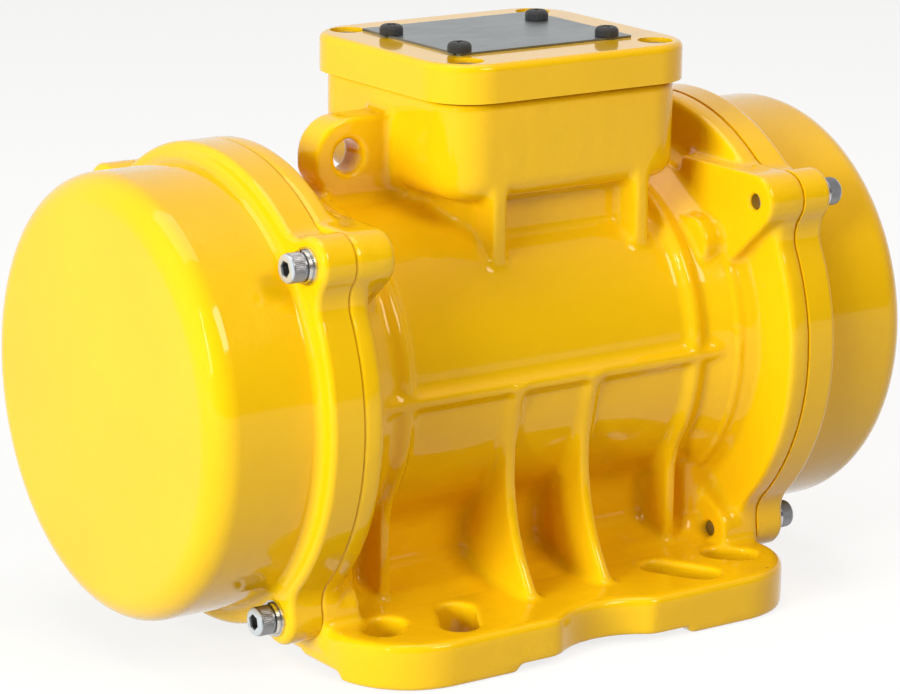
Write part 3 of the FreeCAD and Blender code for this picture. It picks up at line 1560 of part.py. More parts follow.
def flange_parts():
    flange_screw = socket_screw(
        "flange_screw", size.flange_screw_radius - size.fit_clearance, size.flange_head_radius,
        size.flange_head_height, size.flange_screw_length, size.flange_head_flats,
    )
    cap_screw = socket_screw(
        "cap_screw", size.cap_screw_radius - size.fit_clearance, size.cap_head_radius,
        size.cap_head_height, size.cap_screw_length, size.cap_head_flats,
    )
    heads = seat_face + size.flange_plate
    cap_face = bearing_outer_face + size.grease_cap_thickness
    turned = [(end, 0 if end == RIGHT else 180) for end, _ in ENDS]
    flange_places = [
        (end * heads, across, up, heading)
        for end, heading in turned for across, up in flange_screw_spots()
    ]
    cap_places = [
        (end * cap_face, end * across, up, heading)
        for end, heading in turned for across, up in cap_screw_spots()
    ]
    return (
        end_pair("bearing_flange", bearing_flange())
        + end_pair("grease_cap", grease_cap())
        + [
            copies("bearing_flange_screws", flange_screw, flange_places),
            copies("grease_cap_screws", cap_screw, cap_places),
        ]
    )


# ------------------------------------------------------------------ unbalanced weights
def weight_blank(label, face):
    """Hub with a heavy sector below it, its flanks sloping down from the hub."""
    body = new_body(label)
    radius = cover_bore - size.weight_clearance
    disc = sketch_on(body, "YZ", face)
    circle(disc, 0, 0, radius)
    pad(disc, size.weight_thickness)
    beyond = radius + size.weight_clearance
    drop = beyond * tangent(size.weight_flank_angle)
    open_side = sketch_on(body, "YZ", face + size.weight_thickness)
    outline(
        open_side,
        [
            (-beyond, beyond), (-beyond, -drop), (0, 0), (beyond, -drop), (beyond, beyond),
        ],
    )
    pocket(open_side, size.weight_thickness)
    hub = sketch_on(body, "YZ", face)
    circle(hub, 0, 0, size.weight_hub_radius)
    pad(hub, size.weight_thickness)
    return body


def fixed_weight():
    """Weight keyed to the shaft."""
    body = weight_blank("fixed_weight", fixed_weight_face)
    bore = sketch_on(body, "YZ", fixed_weight_face + size.weight_thickness)
    circle(bore, 0, 0, size.weight_seat_radius + size.fit_clearance)
    pocket(bore, size.weight_thickness)
    keyway = sketch_on(body, "XY")
    half_width = size.key_width / 2
    far = fixed_weight_face + size.weight_thickness
    rectangle(keyway, fixed_weight_face, far, -half_width, half_width)
    pocket(keyway, size.weight_seat_radius + size.key_height / 2, reverse=True)
    return body


def adjustable_weight():
    """Weight that turns on the shaft to set the force, then is clamped by its slit ears."""
    face = adjustable_weight_face
    body = weight_blank("adjustable_weight", face)
    half_width = size.clamp_half_width
    ears = sketch_on(body, "YZ", face)
    rectangle(ears, -half_width, half_width, 0, size.clamp_height, size.rim_round)
    pad(ears, size.weight_thickness)
    bore = sketch_on(body, "YZ", face + size.weight_thickness)
    circle(bore, 0, 0, size.weight_seat_radius + size.turning_play)
    pocket(bore, size.weight_thickness)
    slit = sketch_on(body, "YZ", face + size.weight_thickness)
    half_slit = size.clamp_slit / 2
    rectangle(slit, -half_slit, half_slit, 0, size.clamp_height + 1)
    pocket(slit, size.weight_thickness)
    hole = sketch_on(body, "XZ")
    circle(hole, face + size.weight_thickness / 2, size.clamp_screw_height, size.clamp_screw_radius)
    pocket(hole, half_width * 2 + 1, both_ways=True)
    return body


def clamp_screw(end, name):
    """Screw across the slit, its head on the back ear."""
    screw = socket_screw(
        f"{name}_clamp", size.clamp_screw_radius - size.fit_clearance,
        size.clamp_head_radius, size.clamp_head_height,
        size.clamp_half_width * 2, size.clamp_head_flats,
    )
    middle = end * (adjustable_weight_face + size.weight_thickness / 2)
    place = (middle, size.clamp_half_width, size.clamp_screw_height, 90)
    return copies(f"{name}_clamp_screw", screw, [place])


def weight_parts():
    return (
        end_pair("fixed_weight", fixed_weight())
        + end_pair("adjustable_weight", adjustable_weight())
        + [clamp_screw(end, name) for end, name in ENDS]
    )


# ------------------------------------------------------------------ assembly and export
nodes = [motor_housing()]
nodes += end_pair("weight_cover", weight_cover())
nodes += end_pair("cover_seal", cover_seal())
nodes += cover_fasteners()
nodes += lid_parts()
nodes += terminal_parts()
nodes += cable_gland()
nodes += stator_parts()
nodes += rotor_parts()
nodes += bearing_parts()
nodes += flange_parts()
nodes += weight_parts()
doc.recompute()

for item in doc.Objects:
    if "Invalid" in item.State or "Error" in item.State:
        raise RuntimeError(f"{item.Label} was not built: {item.State}")
for node in nodes:
    if node.Shape.isNull() or not node.Shape.isValid():
        raise RuntimeError(f"{node.Label} has no valid shape")

os.makedirs("parts", exist_ok=True)
for node in nodes:
    node.Shape.exportStep(os.path.join("parts", f"{node.Label}.step"))
print(f"{len(nodes)} parts written")
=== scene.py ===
import math

import bmesh
import bpy
import numpy as np
from mathutils import Matrix, Vector


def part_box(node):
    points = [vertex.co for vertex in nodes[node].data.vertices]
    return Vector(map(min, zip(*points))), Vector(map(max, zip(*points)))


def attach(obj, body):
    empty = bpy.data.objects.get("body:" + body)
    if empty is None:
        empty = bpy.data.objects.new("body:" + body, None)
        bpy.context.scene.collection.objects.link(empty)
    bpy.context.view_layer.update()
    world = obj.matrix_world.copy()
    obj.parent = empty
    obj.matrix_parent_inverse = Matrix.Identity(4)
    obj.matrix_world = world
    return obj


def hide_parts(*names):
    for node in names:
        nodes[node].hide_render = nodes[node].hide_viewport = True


# Twin-end vibration motor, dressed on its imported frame: X runs along the shaft, Y across the feet
# towards the cable gland, and Z up from the plane that the feet stand on. Metres throughout.
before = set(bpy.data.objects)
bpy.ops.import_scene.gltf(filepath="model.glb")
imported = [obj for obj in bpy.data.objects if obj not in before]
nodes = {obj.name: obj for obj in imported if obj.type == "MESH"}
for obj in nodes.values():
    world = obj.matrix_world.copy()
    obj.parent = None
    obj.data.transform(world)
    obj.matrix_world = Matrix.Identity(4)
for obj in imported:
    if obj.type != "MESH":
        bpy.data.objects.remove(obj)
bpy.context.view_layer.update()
scene = bpy.context.scene
MM = 0.001


# ---------------------------------------------------------------- motor housing
# One metal casting: ribbed barrel, end flanges with screw lobes, foot plate, terminal box and
# lifting lug. It is cast in sand with a hollow fillet in every corner, machined on the faces that
# covers and lid sit on, and painted with a thick glossy yellow enamel.
FILLET = 1.8 * MM
VOXEL = 0.75 * MM
HOUSING_TRIANGLES = 195000
BARREL_RADIUS = 58.5 * MM
NECK_RADIUS = 69.5 * MM
BORE_RADIUS = 55.5 * MM
SEAT_RADIUS = 64.0 * MM
SEAT_DEPTH = 16.0 * MM
SCREW_CLEAR = 5.5 * MM
PEDESTAL_SIDE = 43.0 * MM
PEDESTAL_WAIST = 33.5 * MM
PEDESTAL_HOLLOW = 14.0 * MM
FOOT_PLATE_CLEAR = 17.0 * MM
LOBE_PLACE = 72.0 * MM
LOBE_RUN_OUT = 5.0 * MM
RIB_CLEAR = 47.2 * MM
END_RIB_PLACE = 61.7 * MM
END_RIB_HALF = 2.6 * MM
END_RIB_RADIUS = 61.5 * MM
END_RIB_FOOT = 47.7 * MM
END_RIB_HOLLOW = 30.0 * MM
ENAMEL_LIGHT = (0.87, 0.50, 0.003)
ENAMEL_DEEP = (0.83, 0.465, 0.003)
ENAMEL_RELIEF = 0.30 * MM
ORANGE_PEEL = 0.12


def settled(item):
    """The object with its modifiers worked into a plain mesh."""
    depsgraph = bpy.context.evaluated_depsgraph_get()
    mesh = bpy.data.meshes.new_from_object(item.evaluated_get(depsgraph))
    item.modifiers.clear()
    item.data = mesh
    return item


def welded_copy(node, name):
    """A copy of a CAD node whose triangles share their corners."""
    mesh = nodes[node].data.copy()
    shape = bmesh.new()
    shape.from_mesh(mesh)
    bmesh.ops.remove_doubles(shape, verts=shape.verts, dist=1e-6)
    shape.to_mesh(mesh)
    shape.free()
    made = bpy.data.objects.new(name, mesh)
    scene.collection.objects.link(made)
    return made


def remeshed(item, voxel):
    """The object's skin rebuilt from small cubes, which closes what has grown together."""
    remesh = item.modifiers.new("skin", "REMESH")
    remesh.mode = "VOXEL"
    remesh.voxel_size = voxel
    return settled(item)


def read_corners(mesh):
    """The places of a mesh's corners, one row each."""
    places = np.empty(len(mesh.vertices) * 3, np.float32)
    mesh.vertices.foreach_get("co", places)
    return places.reshape(-1, 3)


def place_corners(mesh, places):
    mesh.vertices.foreach_set("co", places.astype(np.float32).ravel())
    mesh.update()


def grown(item, distance, kept):
    """Moves each corner along its normal; kept gives 0 to 1 for how much of the step is taken."""
    places = read_corners(item.data)
    normals = np.empty(places.size, np.float32)
    item.data.vertex_normals.foreach_get("vector", normals)
    places += normals.reshape(-1, 3) * (distance * kept(places))[:, None]
    place_corners(item.data, places)


def smoothed(item, rounds, share):
    """Each corner drawn towards its neighbours by a share, round after round."""
    soften = item.modifiers.new("soften", "SMOOTH")
    soften.iterations = rounds
    soften.factor = share
    return settled(item)


def thinned(item, triangles):
    """Fewer triangles, taken first where the skin is flat."""
    item.data.calc_loop_triangles()
    thin = item.modifiers.new("thin", "DECIMATE")
    thin.ratio = min(1, triangles / len(item.data.loop_triangles))
    return settled(item)


axis_height = (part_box("shaft")[0].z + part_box("shaft")[1].z) / 2
half_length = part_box("motor_housing")[1].x
screw_corners = read_corners(nodes["cover_screws"].data)
screw_head_radius = 5.0 * MM
upper, lower = (screw_corners[side * (screw_corners[:, 2] - axis_height) > 0] for side in (1, -1))
cover_screw_spots = [
    (upper[:, 1].max() - screw_head_radius, upper[:, 2].max() - screw_head_radius),
    (lower[:, 1].max() - screw_head_radius, lower[:, 2].min() + screw_head_radius),
]


def flank(up, radius, wall, hollow):
    """Half width of a round that runs by a hollow into an upright wall, at each height."""
    centre_out = wall + hollow
    centre_up = -np.sqrt((radius + hollow) ** 2 - centre_out**2)
    leaves_round = centre_up * radius / (radius + hollow)
    rounded = np.sqrt(np.maximum(radius**2 - up**2, 0))
    hollowed = centre_out - np.sqrt(np.maximum(hollow**2 - (up - centre_up) ** 2, 0))
    return np.where(up > leaves_round, rounded, np.where(up > centre_up, hollowed, wall))


def waisted(item):
    """Draws the sides of the pedestal in under the barrel and eases the feet of the end ribs."""
    places = read_corners(item.data)
    along, across = np.abs(places[:, 0]), np.abs(places[:, 1])
    up = places[:, 2] - axis_height
    outside = np.hypot(across, up) > BORE_RADIUS
    radius = np.interp(along, (END_RIB_PLACE, half_length), (BARREL_RADIUS, NECK_RADIUS))
    drawn = PEDESTAL_SIDE - flank(up, radius, PEDESTAL_WAIST, PEDESTAL_HOLLOW)
    beside = np.clip((RIB_CLEAR - across) / (RIB_CLEAR - PEDESTAL_SIDE), 0, 1)
    clear_of_lobes = np.clip((LOBE_PLACE - along) / LOBE_RUN_OUT, 0, 1)
    low_side = (places[:, 2] > FOOT_PLATE_CLEAR) & (up < 0)
    on_pedestal = outside & (across > PEDESTAL_SIDE - MM) & low_side
    move = -np.maximum(drawn, 0) * beside * clear_of_lobes * on_pedestal
    edge = np.maximum(np.sqrt(np.maximum(END_RIB_RADIUS**2 - up**2, 0)), END_RIB_FOOT)
    eased = flank(up, END_RIB_RADIUS, END_RIB_FOOT, END_RIB_HOLLOW) - edge
    on_rib = (np.abs(along - END_RIB_PLACE) < END_RIB_HALF) & (across > PEDESTAL_SIDE + MM)
    share = np.clip((across - PEDESTAL_SIDE) / (edge - PEDESTAL_SIDE), 0, 1)
    move += eased * share * (on_rib & low_side & (across < edge + MM))
    places[:, 1] += np.sign(places[:, 1]) * move
    place_corners(item.data, places)
    return item


def casting_share(places):
    """1 on the cast skin, running out to 0 in the machined bores and round the tapped holes."""
    along, across, up = np.abs(places[:, 0]), places[:, 1], places[:, 2] - axis_height
    from_axis = np.hypot(across, up)
    bore = np.where(along > half_length - SEAT_DEPTH - MM, SEAT_RADIUS, BORE_RADIUS)
    share = np.clip((from_axis - bore) / MM, 0, 1)
    for screw_y, screw_z in cover_screw_spots:
        gap = np.hypot(np.abs(across) - screw_y, places[:, 2] - screw_z)
        share = np.minimum(share, np.clip(gap / SCREW_CLEAR * 2 - 1, 0, 1))
    return share


def kept_within(item, node):
    """Holds the skin inside the box of the CAD node, flat on its feet and machined faces."""
    places = read_corners(item.data)
    place_corners(item.data, np.clip(places, *(tuple(corner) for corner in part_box(node))))


housing = remeshed(welded_copy("motor_housing", "housing_casting"), VOXEL)
remeshed(waisted(housing), VOXEL)
for step in (1, 1, -1, -1):
    grown(housing, step * FILLET / 2, casting_share)
    remeshed(housing, VOXEL)
smoothed(housing, 3, 0.5)
thinned(housing, HOUSING_TRIANGLES)
kept_within(housing, "motor_housing")
housing.data.shade_smooth()


def shader_group(name, inputs, outputs):
    """An empty shader group with named number inputs and outputs."""
    tree = bpy.data.node_groups.new(name, "ShaderNodeTree")
    for label, value in inputs.items():
        socket = tree.interface.new_socket(label, in_out="INPUT", socket_type="NodeSocketFloat")
        socket.default_value = value
    for label in outputs:
        tree.interface.new_socket(label, in_out="OUTPUT", socket_type="NodeSocketFloat")
    return tree, tree.nodes.new("NodeGroupInput"), tree.nodes.new("NodeGroupOutput")


def noise(tree, scale, detail=3.0, rough=0.5, stretch=(1, 1, 1)):
    """A noise texture on Object coordinates; the scale is in waves per metre."""
    place = tree.nodes.new("ShaderNodeTexCoord")
    mapping = tree.nodes.new("ShaderNodeMapping")
    mapping.inputs["Scale"].default_value = stretch
    texture = tree.nodes.new("ShaderNodeTexNoise")
    texture.inputs["Scale"].default_value = scale
    texture.inputs["Detail"].default_value = detail
    texture.inputs["Roughness"].default_value = rough
    tree.links.new(place.outputs["Object"], mapping.inputs["Vector"])
    tree.links.new(mapping.outputs["Vector"], texture.inputs["Vector"])
    return texture.outputs["Fac"]


def fitted(tree, value, low, high, from_low=0.3, from_high=0.7):
    """Spreads a noise value over a range whose ends are numbers or sockets."""
    node = tree.nodes.new("ShaderNodeMapRange")
    node.inputs["From Min"].default_value = from_low
    node.inputs["From Max"].default_value = from_high
    for label, limit in (("To Min", low), ("To Max", high)):
        if hasattr(limit, "is_output"):
            tree.links.new(limit, node.inputs[label])
        else:
            node.inputs[label].default_value = limit
    tree.links.new(value, node.inputs["Value"])
    return node.outputs["Result"]


def enamel_group():
    """Thick spray enamel: slow drift of tone, cast waviness below and a fine orange peel on top."""
    tree, given, result = shader_group(
        "enamel_film", {"Waviness": 1.0, "Peel": 1.0}, ("Tone", "Roughness", "Height")
    )
    wave = tree.nodes.new("ShaderNodeMath")
    wave.operation = "MULTIPLY"
    tree.links.new(noise(tree, 130, 2), wave.inputs[0])
    tree.links.new(given.outputs["Waviness"], wave.inputs[1])
    peel = tree.nodes.new("ShaderNodeMath")
    peel.operation = "MULTIPLY_ADD"
    tree.links.new(noise(tree, 900, 1), peel.inputs[0])
    tree.links.new(given.outputs["Peel"], peel.inputs[1])
    tree.links.new(wave.outputs[0], peel.inputs[2])
    tree.links.new(fitted(tree, noise(tree, 14, 4), 0, 1), result.inputs["Tone"])
    tree.links.new(fitted(tree, noise(tree, 60, 5, 0.6), 0.11, 0.21), result.inputs["Roughness"])
    tree.links.new(peel.outputs[0], result.inputs["Height"])
    return tree


ENAMEL_FILM = enamel_group()


def material(name):
    """A new node material, its tree and its shader."""
    made = bpy.data.materials.new(name)
    made.use_nodes = True
    return made, made.node_tree, made.node_tree.nodes["Principled BSDF"]


def placed_group(tree, group, **values):
    node = tree.nodes.new("ShaderNodeGroup")
    node.node_tree = group
    for label, value in values.items():
        node.inputs[label].default_value = value
    return node


def two_tone(tree, mask, first, second):
    """Mixes two colours by a mask."""
    mix = tree.nodes.new("ShaderNodeMix")
    mix.data_type = "RGBA"
    mix.inputs["A"].default_value = (*first, 1)
    mix.inputs["B"].default_value = (*second, 1)
    tree.links.new(mask, mix.inputs["Factor"])
    return mix.outputs["Result"]


def bumped(tree, shader, height, distance):
    """Relief from a height between 0 and 1, whose full depth is the distance."""
    bump = tree.nodes.new("ShaderNodeBump")
    bump.inputs["Distance"].default_value = distance
    tree.links.new(height, bump.inputs["Height"])
    tree.links.new(bump.outputs["Normal"], shader.inputs["Normal"])


def enamel(name, waviness):
    """Yellow enamel under a clear gloss; waviness is how much of the casting shows through."""
    made, tree, shader = material(name)
    film = placed_group(tree, ENAMEL_FILM, Waviness=waviness, Peel=ORANGE_PEEL)
    tree.links.new(
        two_tone(tree, film.outputs["Tone"], ENAMEL_LIGHT, ENAMEL_DEEP), shader.inputs["Base Color"]
    )
    tree.links.new(film.outputs["Roughness"], shader.inputs["Roughness"])
    shader.inputs["Specular IOR Level"].default_value = 0.06
    shader.inputs["Coat Weight"].default_value = 0.8
    shader.inputs["Coat IOR"].default_value = 1.36
    shader.inputs["Coat Roughness"].default_value = 0.025
    bumped(tree, shader, film.outputs["Height"], ENAMEL_RELIEF)
    return made


def dress(item, body, slot, look, *stood_for):
    """Gives a finished piece its material and body, and hides the CAD nodes that it stands for; the
    slot is not used.
    """
    item.data.materials.clear()
    item.data.materials.append(look)
    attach(item, body)
    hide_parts(*stood_for)


def finish(look, *names):
    """Gives CAD nodes that are shown as they are their material."""
    for name in names:
        nodes[name].data.materials.clear()
        nodes[name].data.materials.append(look)


dress(housing, "motor_frame", "yellow_casting", enamel("housing_enamel", 1.0), "motor_housing")


# ---------------------------------------------------------------- weight covers
# Deep round cups over the weights at both ends, cast with a lobed flange. They are painted
# before they are bolted on, so the seam against the housing stays open as a fine line.
finish(enamel("cover_enamel", 0.6), "left_weight_cover", "right_weight_cover")


# ---------------------------------------------------------------- terminal box lid
# A cast lid with a raised edge and four counterbores, painted like the housing. It is smoother
# than the body, as its top is faced off before painting.
finish(enamel("lid_enamel", 0.35), "terminal_box_lid")


# ---------------------------------------------------------------- data plate
# Thin stainless sheet on top of the lid, stamped out and brushed along its length. Four black
# screws hold it down. It is left bare.
def brushed_plate():
    made, tree, shader = material("brushed_plate")
    lines = noise(tree, 1800, 3, 0.6, (0.04, 1, 1))
    patches = noise(tree, 45, 3)
    tree.links.new(
        two_tone(tree, fitted(tree, patches, 0, 1), (0.30, 0.325, 0.335), (0.24, 0.262, 0.272)),
        shader.inputs["Base Color"],
    )
    tree.links.new(fitted(tree, lines, 0.28, 0.5), shader.inputs["Roughness"])
    shader.inputs["Metallic"].default_value = 1.0
    bumped(tree, shader, lines, 0.00006)
    return made


finish(brushed_plate(), "data_plate")


# ---------------------------------------------------------------- cover screws
# Eight M6 socket head screws, cold headed with a knurled rim and a hexagon socket, and plated with
# bright zinc. They come in from both ends, through the lobes of the covers into the housing.
COVER_SCREW_SEGMENTS = 192
KNURLS = 48
KNURL_DEPTH = 0.16 * MM
SOCKET_FLATS = 5.0 * MM
COVER_SHANK = 3.0 * MM
COVER_SCREW_LENGTH = 30.0 * MM
TIP_CHAMFER = 0.6 * MM
ZINC_DULL = (0.27, 0.27, 0.28)
# The pale zinc tone is a painted highlight on the fronts of the cover screws' heads.
ZINC_PAINTED_HIGHLIGHT = (0.58, 0.60, 0.66)
ZINC_RELIEF = 0.03 * MM


def polygon_reach(angle, count, apothem):
    """Distance from the middle to the edge of a regular polygon in a direction."""
    part = 2 * math.pi / count
    return apothem / math.cos((angle + part / 2) % part - part / 2)


def turning(name, rings, segments):
    """A closed skin round Z: each ring is a height and its reach in every direction."""
    mesh = bpy.data.meshes.new(name)
    shape = bmesh.new()
    rows = []
    for height, reach in rings:
        row = []
        for step in range(segments):
            angle = 2 * math.pi * step / segments
            radius = reach(angle) if callable(reach) else reach
            corner = (radius * math.cos(angle), radius * math.sin(angle), height)
            row.append(shape.verts.new(corner))
        rows.append(row)
    for low, high in zip(rows, rows[1:]):
        for step in range(segments):
            after = (step + 1) % segments
            shape.faces.new((low[step], low[after], high[after], high[step]))
    shape.faces.new(reversed(rows[0]))
    shape.faces.new(rows[-1])
    shape.to_mesh(mesh)
    shape.free()
    mesh.set_sharp_from_angle(angle=math.radians(35))
    made = bpy.data.objects.new(name, mesh)
    scene.collection.objects.link(made)
    return made


def instancing_group():
    """Geometry nodes: one piece on every point, turned as the point's own angles say."""
    tree = bpy.data.node_groups.new("piece_on_points", "GeometryNodeTree")
    sockets = tree.interface
    sockets.new_socket("Points", in_out="INPUT", socket_type="NodeSocketGeometry")
    sockets.new_socket("Piece", in_out="INPUT", socket_type="NodeSocketObject")
    sockets.new_socket("Look", in_out="INPUT", socket_type="NodeSocketMaterial")
    sockets.new_socket("Pieces", in_out="OUTPUT", socket_type="NodeSocketGeometry")
    given, result = tree.nodes.new("NodeGroupInput"), tree.nodes.new("NodeGroupOutput")
    piece = tree.nodes.new("GeometryNodeObjectInfo")
    angles = tree.nodes.new("GeometryNodeInputNamedAttribute")
    angles.data_type = "FLOAT_VECTOR"
    angles.inputs["Name"].default_value = "angles"
    turned = tree.nodes.new("FunctionNodeEulerToRotation")
    spread = tree.nodes.new("GeometryNodeInstanceOnPoints")
    real = tree.nodes.new("GeometryNodeRealizeInstances")
    look = tree.nodes.new("GeometryNodeSetMaterial")
    link = tree.links.new
    link(given.outputs["Piece"], piece.inputs["Object"])
    link(given.outputs["Points"], spread.inputs["Points"])
    link(piece.outputs["Geometry"], spread.inputs["Instance"])
    link(angles.outputs["Attribute"], turned.inputs["Euler"])
    link(turned.outputs["Rotation"], spread.inputs["Rotation"])
    link(spread.outputs["Instances"], real.inputs["Geometry"])
    link(real.outputs["Geometry"], look.inputs["Geometry"])
    link(given.outputs["Look"], look.inputs["Material"])
    link(look.outputs["Geometry"], result.inputs["Pieces"])
    return tree


PIECE_ON_POINTS = instancing_group()


def repeated(name, piece, places, look):
    """One object with the piece at every place; each place is a point and three angles."""
    mesh = bpy.data.meshes.new(name)
    mesh.from_pydata([point for point, _ in places], [], [])
    turns = mesh.attributes.new("angles", "FLOAT_VECTOR", "POINT")
    for spot, (_, angles) in zip(turns.data, places):
        spot.vector = angles
    made = bpy.data.objects.new(name, mesh)
    scene.collection.objects.link(made)
    spread = made.modifiers.new("spread", "NODES")
    spread.node_group = PIECE_ON_POINTS
    labels = {socket.name: socket.identifier for socket in PIECE_ON_POINTS.interface.items_tree}
    spread[labels["Piece"]] = piece
    spread[labels["Look"]] = look
    settled(made)
    bpy.data.objects.remove(piece)
    return made


def metal_group():
    """Drawn or turned metal: dull patches and fine scratches."""
    tree, given, result = shader_group(
        "worked_metal", {"Dull": 0.45, "Bright": 0.25}, ("Tone", "Roughness", "Height")
    )
    patches = noise(tree, 300, 4, 0.6)
    tree.links.new(fitted(tree, patches, 0, 1), result.inputs["Tone"])
    finish_between = given.outputs["Bright"], given.outputs["Dull"]
    tree.links.new(fitted(tree, patches, *finish_between), result.inputs["Roughness"])
    tree.links.new(noise(tree, 2500, 3, 0.6), result.inputs["Height"])
    return tree


WORKED_METAL = metal_group()


def metal(name, light, deep, bright, dull, depth=ZINC_RELIEF):
    """Bare or plated metal between two tones, and between a bright and a dull finish."""
    made, tree, shader = material(name)
    work = placed_group(tree, WORKED_METAL, Bright=bright, Dull=dull)
    tree.links.new(two_tone(tree, work.outputs["Tone"], light, deep), shader.inputs["Base Color"])
    tree.links.new(work.outputs["Roughness"], shader.inputs["Roughness"])
    shader.inputs["Metallic"].default_value = 1.0
    bumped(tree, shader, work.outputs["Height"], depth)
    return made


def headed_zinc(front):
    """Zinc with a painted highlight: pale beyond the front of the cover screws' heads, as if lit,
    and dull grey inside it, so the heads' sides stay darker than their fronts.
    """
    made, tree, shader = material("zinc_painted_highlight")
    work = placed_group(tree, WORKED_METAL, Bright=0.30, Dull=0.45)
    place = tree.nodes.new("ShaderNodeTexCoord")
    along = tree.nodes.new("ShaderNodeSeparateXYZ")
    outward = tree.nodes.new("ShaderNodeMath")
    outward.operation = "ABSOLUTE"
    tree.links.new(place.outputs["Object"], along.inputs["Vector"])
    tree.links.new(along.outputs["X"], outward.inputs[0])
    # Painted highlight: beyond the front of the cover screws' heads the zinc is painted paler and
    # less metallic, as if lit.
    pale = fitted(tree, outward.outputs["Value"], 0, 1, front - 0.9 * MM, front - 0.5 * MM)
    # Mixes the zinc's random tone with the painted highlight.
    tone_and_painted_highlight = tree.nodes.new("ShaderNodeMath")
    tone_and_painted_highlight.operation = "MULTIPLY_ADD"
    tone_and_painted_highlight.use_clamp = True
    tone_and_painted_highlight.inputs[1].default_value = 0.18
    tree.links.new(work.outputs["Tone"], tone_and_painted_highlight.inputs[0])
    tree.links.new(pale, tone_and_painted_highlight.inputs[2])
    colour = two_tone(tree, tone_and_painted_highlight.outputs["Value"], ZINC_DULL, ZINC_PAINTED_HIGHLIGHT)
    tree.links.new(colour, shader.inputs["Base Color"])
    tree.links.new(work.outputs["Roughness"], shader.inputs["Roughness"])
    tree.links.new(fitted(tree, pale, 1.0, 0.5, 0, 1), shader.inputs["Metallic"])
    bumped(tree, shader, work.outputs["Height"], ZINC_RELIEF)
    return made


def cover_screws():
    under_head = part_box("cover_spring_washers")[1].x
    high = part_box("cover_screws")[1].x - under_head
    reach = screw_head_radius

    def knurled(angle):
        return reach - KNURL_DEPTH * (0.5 - 0.5 * math.cos(angle * KNURLS))

    def socket(angle):
        return polygon_reach(angle, 6, SOCKET_FLATS / 2)

    screw = turning(
        "cover_screw",
        [
            (-COVER_SCREW_LENGTH, COVER_SHANK - TIP_CHAMFER),
            (-COVER_SCREW_LENGTH + TIP_CHAMFER, COVER_SHANK),
            (0, COVER_SHANK),
            (0, reach - 0.3 * MM),
            (0.3 * MM, reach),
            (0.9 * MM, reach),
            (1.0 * MM, knurled),
            (high - 1.3 * MM, knurled),
            (high - 1.2 * MM, reach - KNURL_DEPTH),
            (high - 0.7 * MM, reach - KNURL_DEPTH),
            (high - 0.25 * MM, reach - 0.45 * MM),
            (high, reach - 1.0 * MM),
            (high, socket),
            (high * 0.45, socket),
            (high * 0.42, lambda angle: socket(angle) * 0.85),
            (high * 0.3, 0.2 * MM),
        ],
        COVER_SCREW_SEGMENTS,
    )
    places = []
    for end in (-1, 1):
        for number, (across, up) in enumerate(cover_screw_spots):
            for side in (-1, 1):
                turn = Matrix.Rotation(0.35 + 0.9 * number + 0.5 * side, 3, "Z")
                outwards = Matrix.Rotation(end * math.pi / 2, 3, "Y")
                spot = (end * under_head, side * across, up)
                places.append((spot, (outwards @ turn).to_euler()))
    # This zinc carries a painted highlight on the fronts of the heads; it is shared with the other
    # zinc parts.
    look = headed_zinc(under_head + high)
    return repeated("cover_socket_screws", screw, places, look), look


screws, zinc_painted_highlight = cover_screws()
dress(screws, "motor_frame", "zinc_steel", zinc_painted_highlight, "cover_screws")


# ---------------------------------------------------------------- washers of the cover screws
# A flat washer on each lobe and a split spring washer under each head, both stamped or coiled from
# steel and plated with zinc, with tumbled bright edges.
finish(
    metal("tumbled_zinc", (0.72, 0.72, 0.71), (0.55, 0.55, 0.55), 0.18, 0.32),
    "cover_flat_washers", "cover_spring_washers",
)


# ---------------------------------------------------------------- plate screws
# Four M4 pan head screws with a cross recess through the data plate into the lid. They are black
# oxide steel, rough from the bath.
CROSS_REACH = 2.3 * MM
CROSS_HALF = 0.55 * MM


def cross_reach(angle, reach, half):
    """Distance from the middle to the edge of a four-armed cross in a direction."""
    off_arm = (angle + math.pi / 4) % (math.pi / 2) - math.pi / 4
    return min(reach / math.cos(off_arm), half / max(abs(math.sin(off_arm)), 1e-6))


def crowned_screw(name, shank, length, head, high, crown):
    """A pan head screw with a cross recess; its head stands on the origin and faces up."""
    steps = 7
    crowned = [
        (high - crown * (1 - math.sin(part)), head - crown * (1 - math.cos(part)))
        for part in (math.pi / 2 * step / steps for step in range(steps))
    ]
    return turning(
        name,
        [
            (-length, shank - 0.4 * MM),
            (-length + 0.4 * MM, shank),
            (0, shank),
            (0, head - 0.2 * MM),
            (0.2 * MM, head),
            *crowned,
            (high, lambda angle: cross_reach(angle, CROSS_REACH, CROSS_HALF)),
            (high * 0.55, lambda angle: cross_reach(angle, CROSS_REACH * 0.6, CROSS_HALF * 0.8)),
            (high * 0.4, 0.1 * MM),
        ],
        96,
    )


def box_spots(node, head):
    """Places of four screws from the box that their heads fill."""
    low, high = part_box(node)
    return [(x, y) for x in (low.x + head, high.x - head) for y in (low.y + head, high.y - head)]


def black_oxide():
    made, tree, shader = material("black_oxide")
    grain = noise(tree, 1500, 4, 0.65)
    tree.links.new(
        two_tone(tree, fitted(tree, grain, 0, 1), (0.012, 0.012, 0.013), (0.03, 0.03, 0.032)),
        shader.inputs["Base Color"],
    )
    tree.links.new(fitted(tree, grain, 0.34, 0.6), shader.inputs["Roughness"])
    bumped(tree, shader, grain, 0.0005)
    return made


plate_low, plate_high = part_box("plate_screws")
plate_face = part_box("data_plate")[1].z
plate_screw = crowned_screw(
    "plate_screw", 2.0 * MM, plate_face - plate_low.z, 4.2 * MM, plate_high.z - plate_face, 1.8 * MM
)
plate_places = [
    ((x, y, plate_face), (0, 0, 0.7 + 1.1 * number))
    for number, (x, y) in enumerate(box_spots("plate_screws", 4.2 * MM))
]
oxide = black_oxide()
plate_screws = repeated("plate_pan_screws", plate_screw, plate_places, oxide)
dress(plate_screws, "motor_frame", "black_screw", oxide, "plate_screws")


